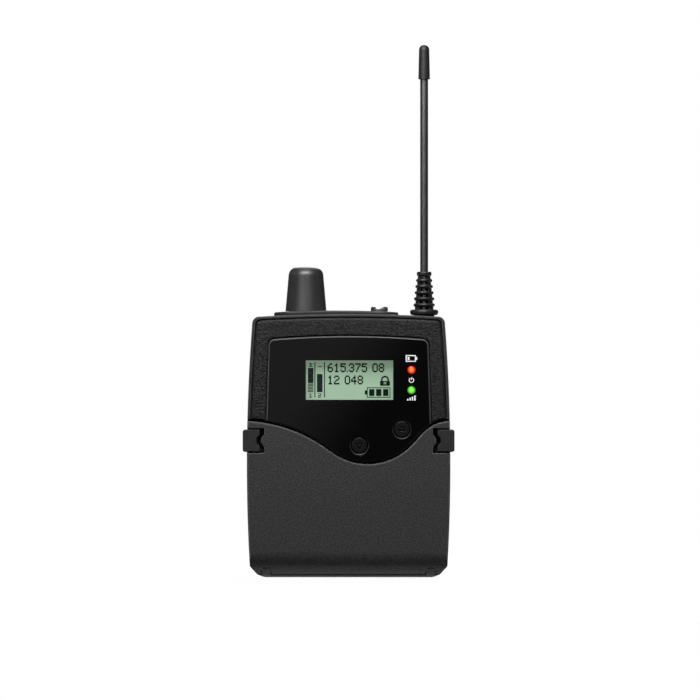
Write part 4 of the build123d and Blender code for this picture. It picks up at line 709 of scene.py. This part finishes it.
# the shadow shows near the object; farther out the floor meets the backdrop in plain white
out_x, out_y = floor_finish.axis("X"), floor_finish.axis("Y")
square_x = floor_finish.math("MULTIPLY", out_x, out_x)
square_y = floor_finish.math("MULTIPLY", out_y, out_y)
away = floor_finish.math("SQRT", floor_finish.math("ADD", square_x, square_y))
SHADOW_NEAR, SHADOW_FAR = 0.08, 0.5
strength = floor_finish.between(away, SHADOW_NEAR, SHADOW_FAR, 1.5, 1.0)
floor_finish.link(strength, bright.inputs["Strength"])
share = floor_finish.between(away, SHADOW_NEAR, SHADOW_FAR, 0.6, 1.0)
blend = tree.nodes.new("ShaderNodeMixShader")
floor_finish.link(floor_finish.math("MULTIPLY", background_rays(tree), share), blend.inputs[0])
floor_finish.link(floor_finish.shader.outputs[0], blend.inputs[1])
floor_finish.link(bright.outputs[0], blend.inputs[2])
floor_finish.link(blend.outputs[0], floor_finish.output.inputs["Surface"])
floor_corners = [(-8, -8, 0), (8, -8, 0), (8, 8, 0), (-8, 8, 0)]
settle(stage_sheet("floor", floor_corners, floor_finish.material))


PALE_SLOPE, DARK_SLOPE = -0.028, -0.0085


def reflected_card(name, corners, low_glow, high_glow, absorbs=False):
    """Studio card that the camera doesn't see: even, or paler towards its upper left."""
    s = Surface(name, (0.0, 0.0, 0.0), 1.0, specular=0.0)
    rightward = s.math("MULTIPLY", s.axis("X"), 0.5)
    slope = s.math("SUBTRACT", rightward, s.math("MULTIPLY", s.axis("Z"), 0.34))
    glow = s.tree.nodes.new("ShaderNodeEmission")
    s.link(s.between(slope, PALE_SLOPE, DARK_SLOPE, high_glow, low_glow), glow.inputs["Strength"])
    s.link(glow.outputs[0], s.output.inputs["Surface"])
    card = stage_sheet(name, corners, s.material)
    card.visible_camera = False
    card.visible_diffuse = absorbs
    card.visible_shadow = False
    card.visible_transmission = False
    return card


def upright_at(x, near_y, far_y, low_z, high_z):
    """Corners of a sheet that stands across the x axis."""
    return [(x, near_y, low_z), (x, far_y, low_z), (x, far_y, high_z), (x, near_y, high_z)]


front_corners = [(-2.2, -2, -1), (2.2, -2, -1), (2.2, -2, 2.2), (-2.2, -2, 2.2)]
reflected_card("front_card", front_corners, 0.01, 0.23)
for side in (-1, 1):
    back_corners = upright_at(0.3 * side, 0.0, 0.9, -0.5, 0.9)
    reflected_card(f"back_flag_{side + 2}", back_corners, 0.02, 0.02)
    top_corners = upright_at(0.3 * side, -0.35, 0.0, 0.075, 0.9)
    reflected_card(f"top_flag_{side + 2}", top_corners, 0.01, 0.01)

# a dark sheet hides the floor from reflected and scattered light, up to 0.7 mm from the cover
foot_x, foot_near_y, foot_far_y, foot_z = 1.5, -1.99, -0.0127, 0.0005
foot_corners = [
    (-foot_x, foot_near_y, foot_z),
    (foot_x, foot_near_y, foot_z),
    (foot_x, foot_far_y, foot_z),
    (-foot_x, foot_far_y, foot_z),
]
settle(reflected_card("foot_flag", foot_corners, 0.005, 0.005, absorbs=True))

world = bpy.data.worlds.new("studio")
scene.world = world
world.use_nodes = True
wt = world.node_tree
background = wt.nodes["Background"]
# white wherever the background is seen, and only a faint light otherwise
level = wt.nodes.new("ShaderNodeMapRange")
level.inputs["To Min"].default_value = 0.12
level.inputs["To Max"].default_value = 1.0
wt.links.new(background_rays(wt), level.inputs["Value"])
background.inputs["Color"].default_value = (1, 1, 1, 1)
wt.links.new(level.outputs[0], background.inputs["Strength"])


def softbox(name, place, target, size, watts):
    data = bpy.data.lights.new(name, "AREA")
    data.shape, data.size, data.size_y = "RECTANGLE", size[0], size[1]
    data.energy = watts
    made = bpy.data.objects.new(name, data)
    made.location = place
    made.rotation_euler = (Vector(target) - Vector(place)).to_track_quat("-Z", "Y").to_euler()
    scene.collection.objects.link(made)
    made.visible_camera = False


aim = (0, 0, 0.07)
softbox("key", (-0.7, -1.0, 0.7), aim, (0.4, 0.7), 3.0)
softbox("fill", (1.0, -0.7, 0.5), aim, (0.4, 0.7), 2.2)
softbox("front", (-0.02, -0.15, 0.25), aim, (0.2, 0.14), 1.1)
softbox("top", (0.0, 0.05, 1.1), aim, (1.0, 0.5), 3.5)
softbox("left", (-1.0, 0.3, 0.7), aim, (0.5, 0.5), 3.0)
softbox("right", (1.0, 0.3, 0.7), aim, (0.5, 0.5), 3.0)
softbox("back", (0.1, 1.1, 0.7), aim, (0.6, 0.5), 5.0)

# straight in front, from 3 m through a long lens
camera_data = bpy.data.cameras.new("camera")
camera_data.lens = 489.0
camera_data.sensor_width = 36.0
camera_data.clip_start, camera_data.clip_end = 0.5, 50.0
camera = bpy.data.objects.new("camera", camera_data)
camera.location = (0.44 * MM, -3.0, 71.6 * MM)
camera.rotation_euler = (math.radians(90), 0, 0)
scene.collection.objects.link(camera)
scene.camera = camera

scene.view_settings.view_transform = "Standard"
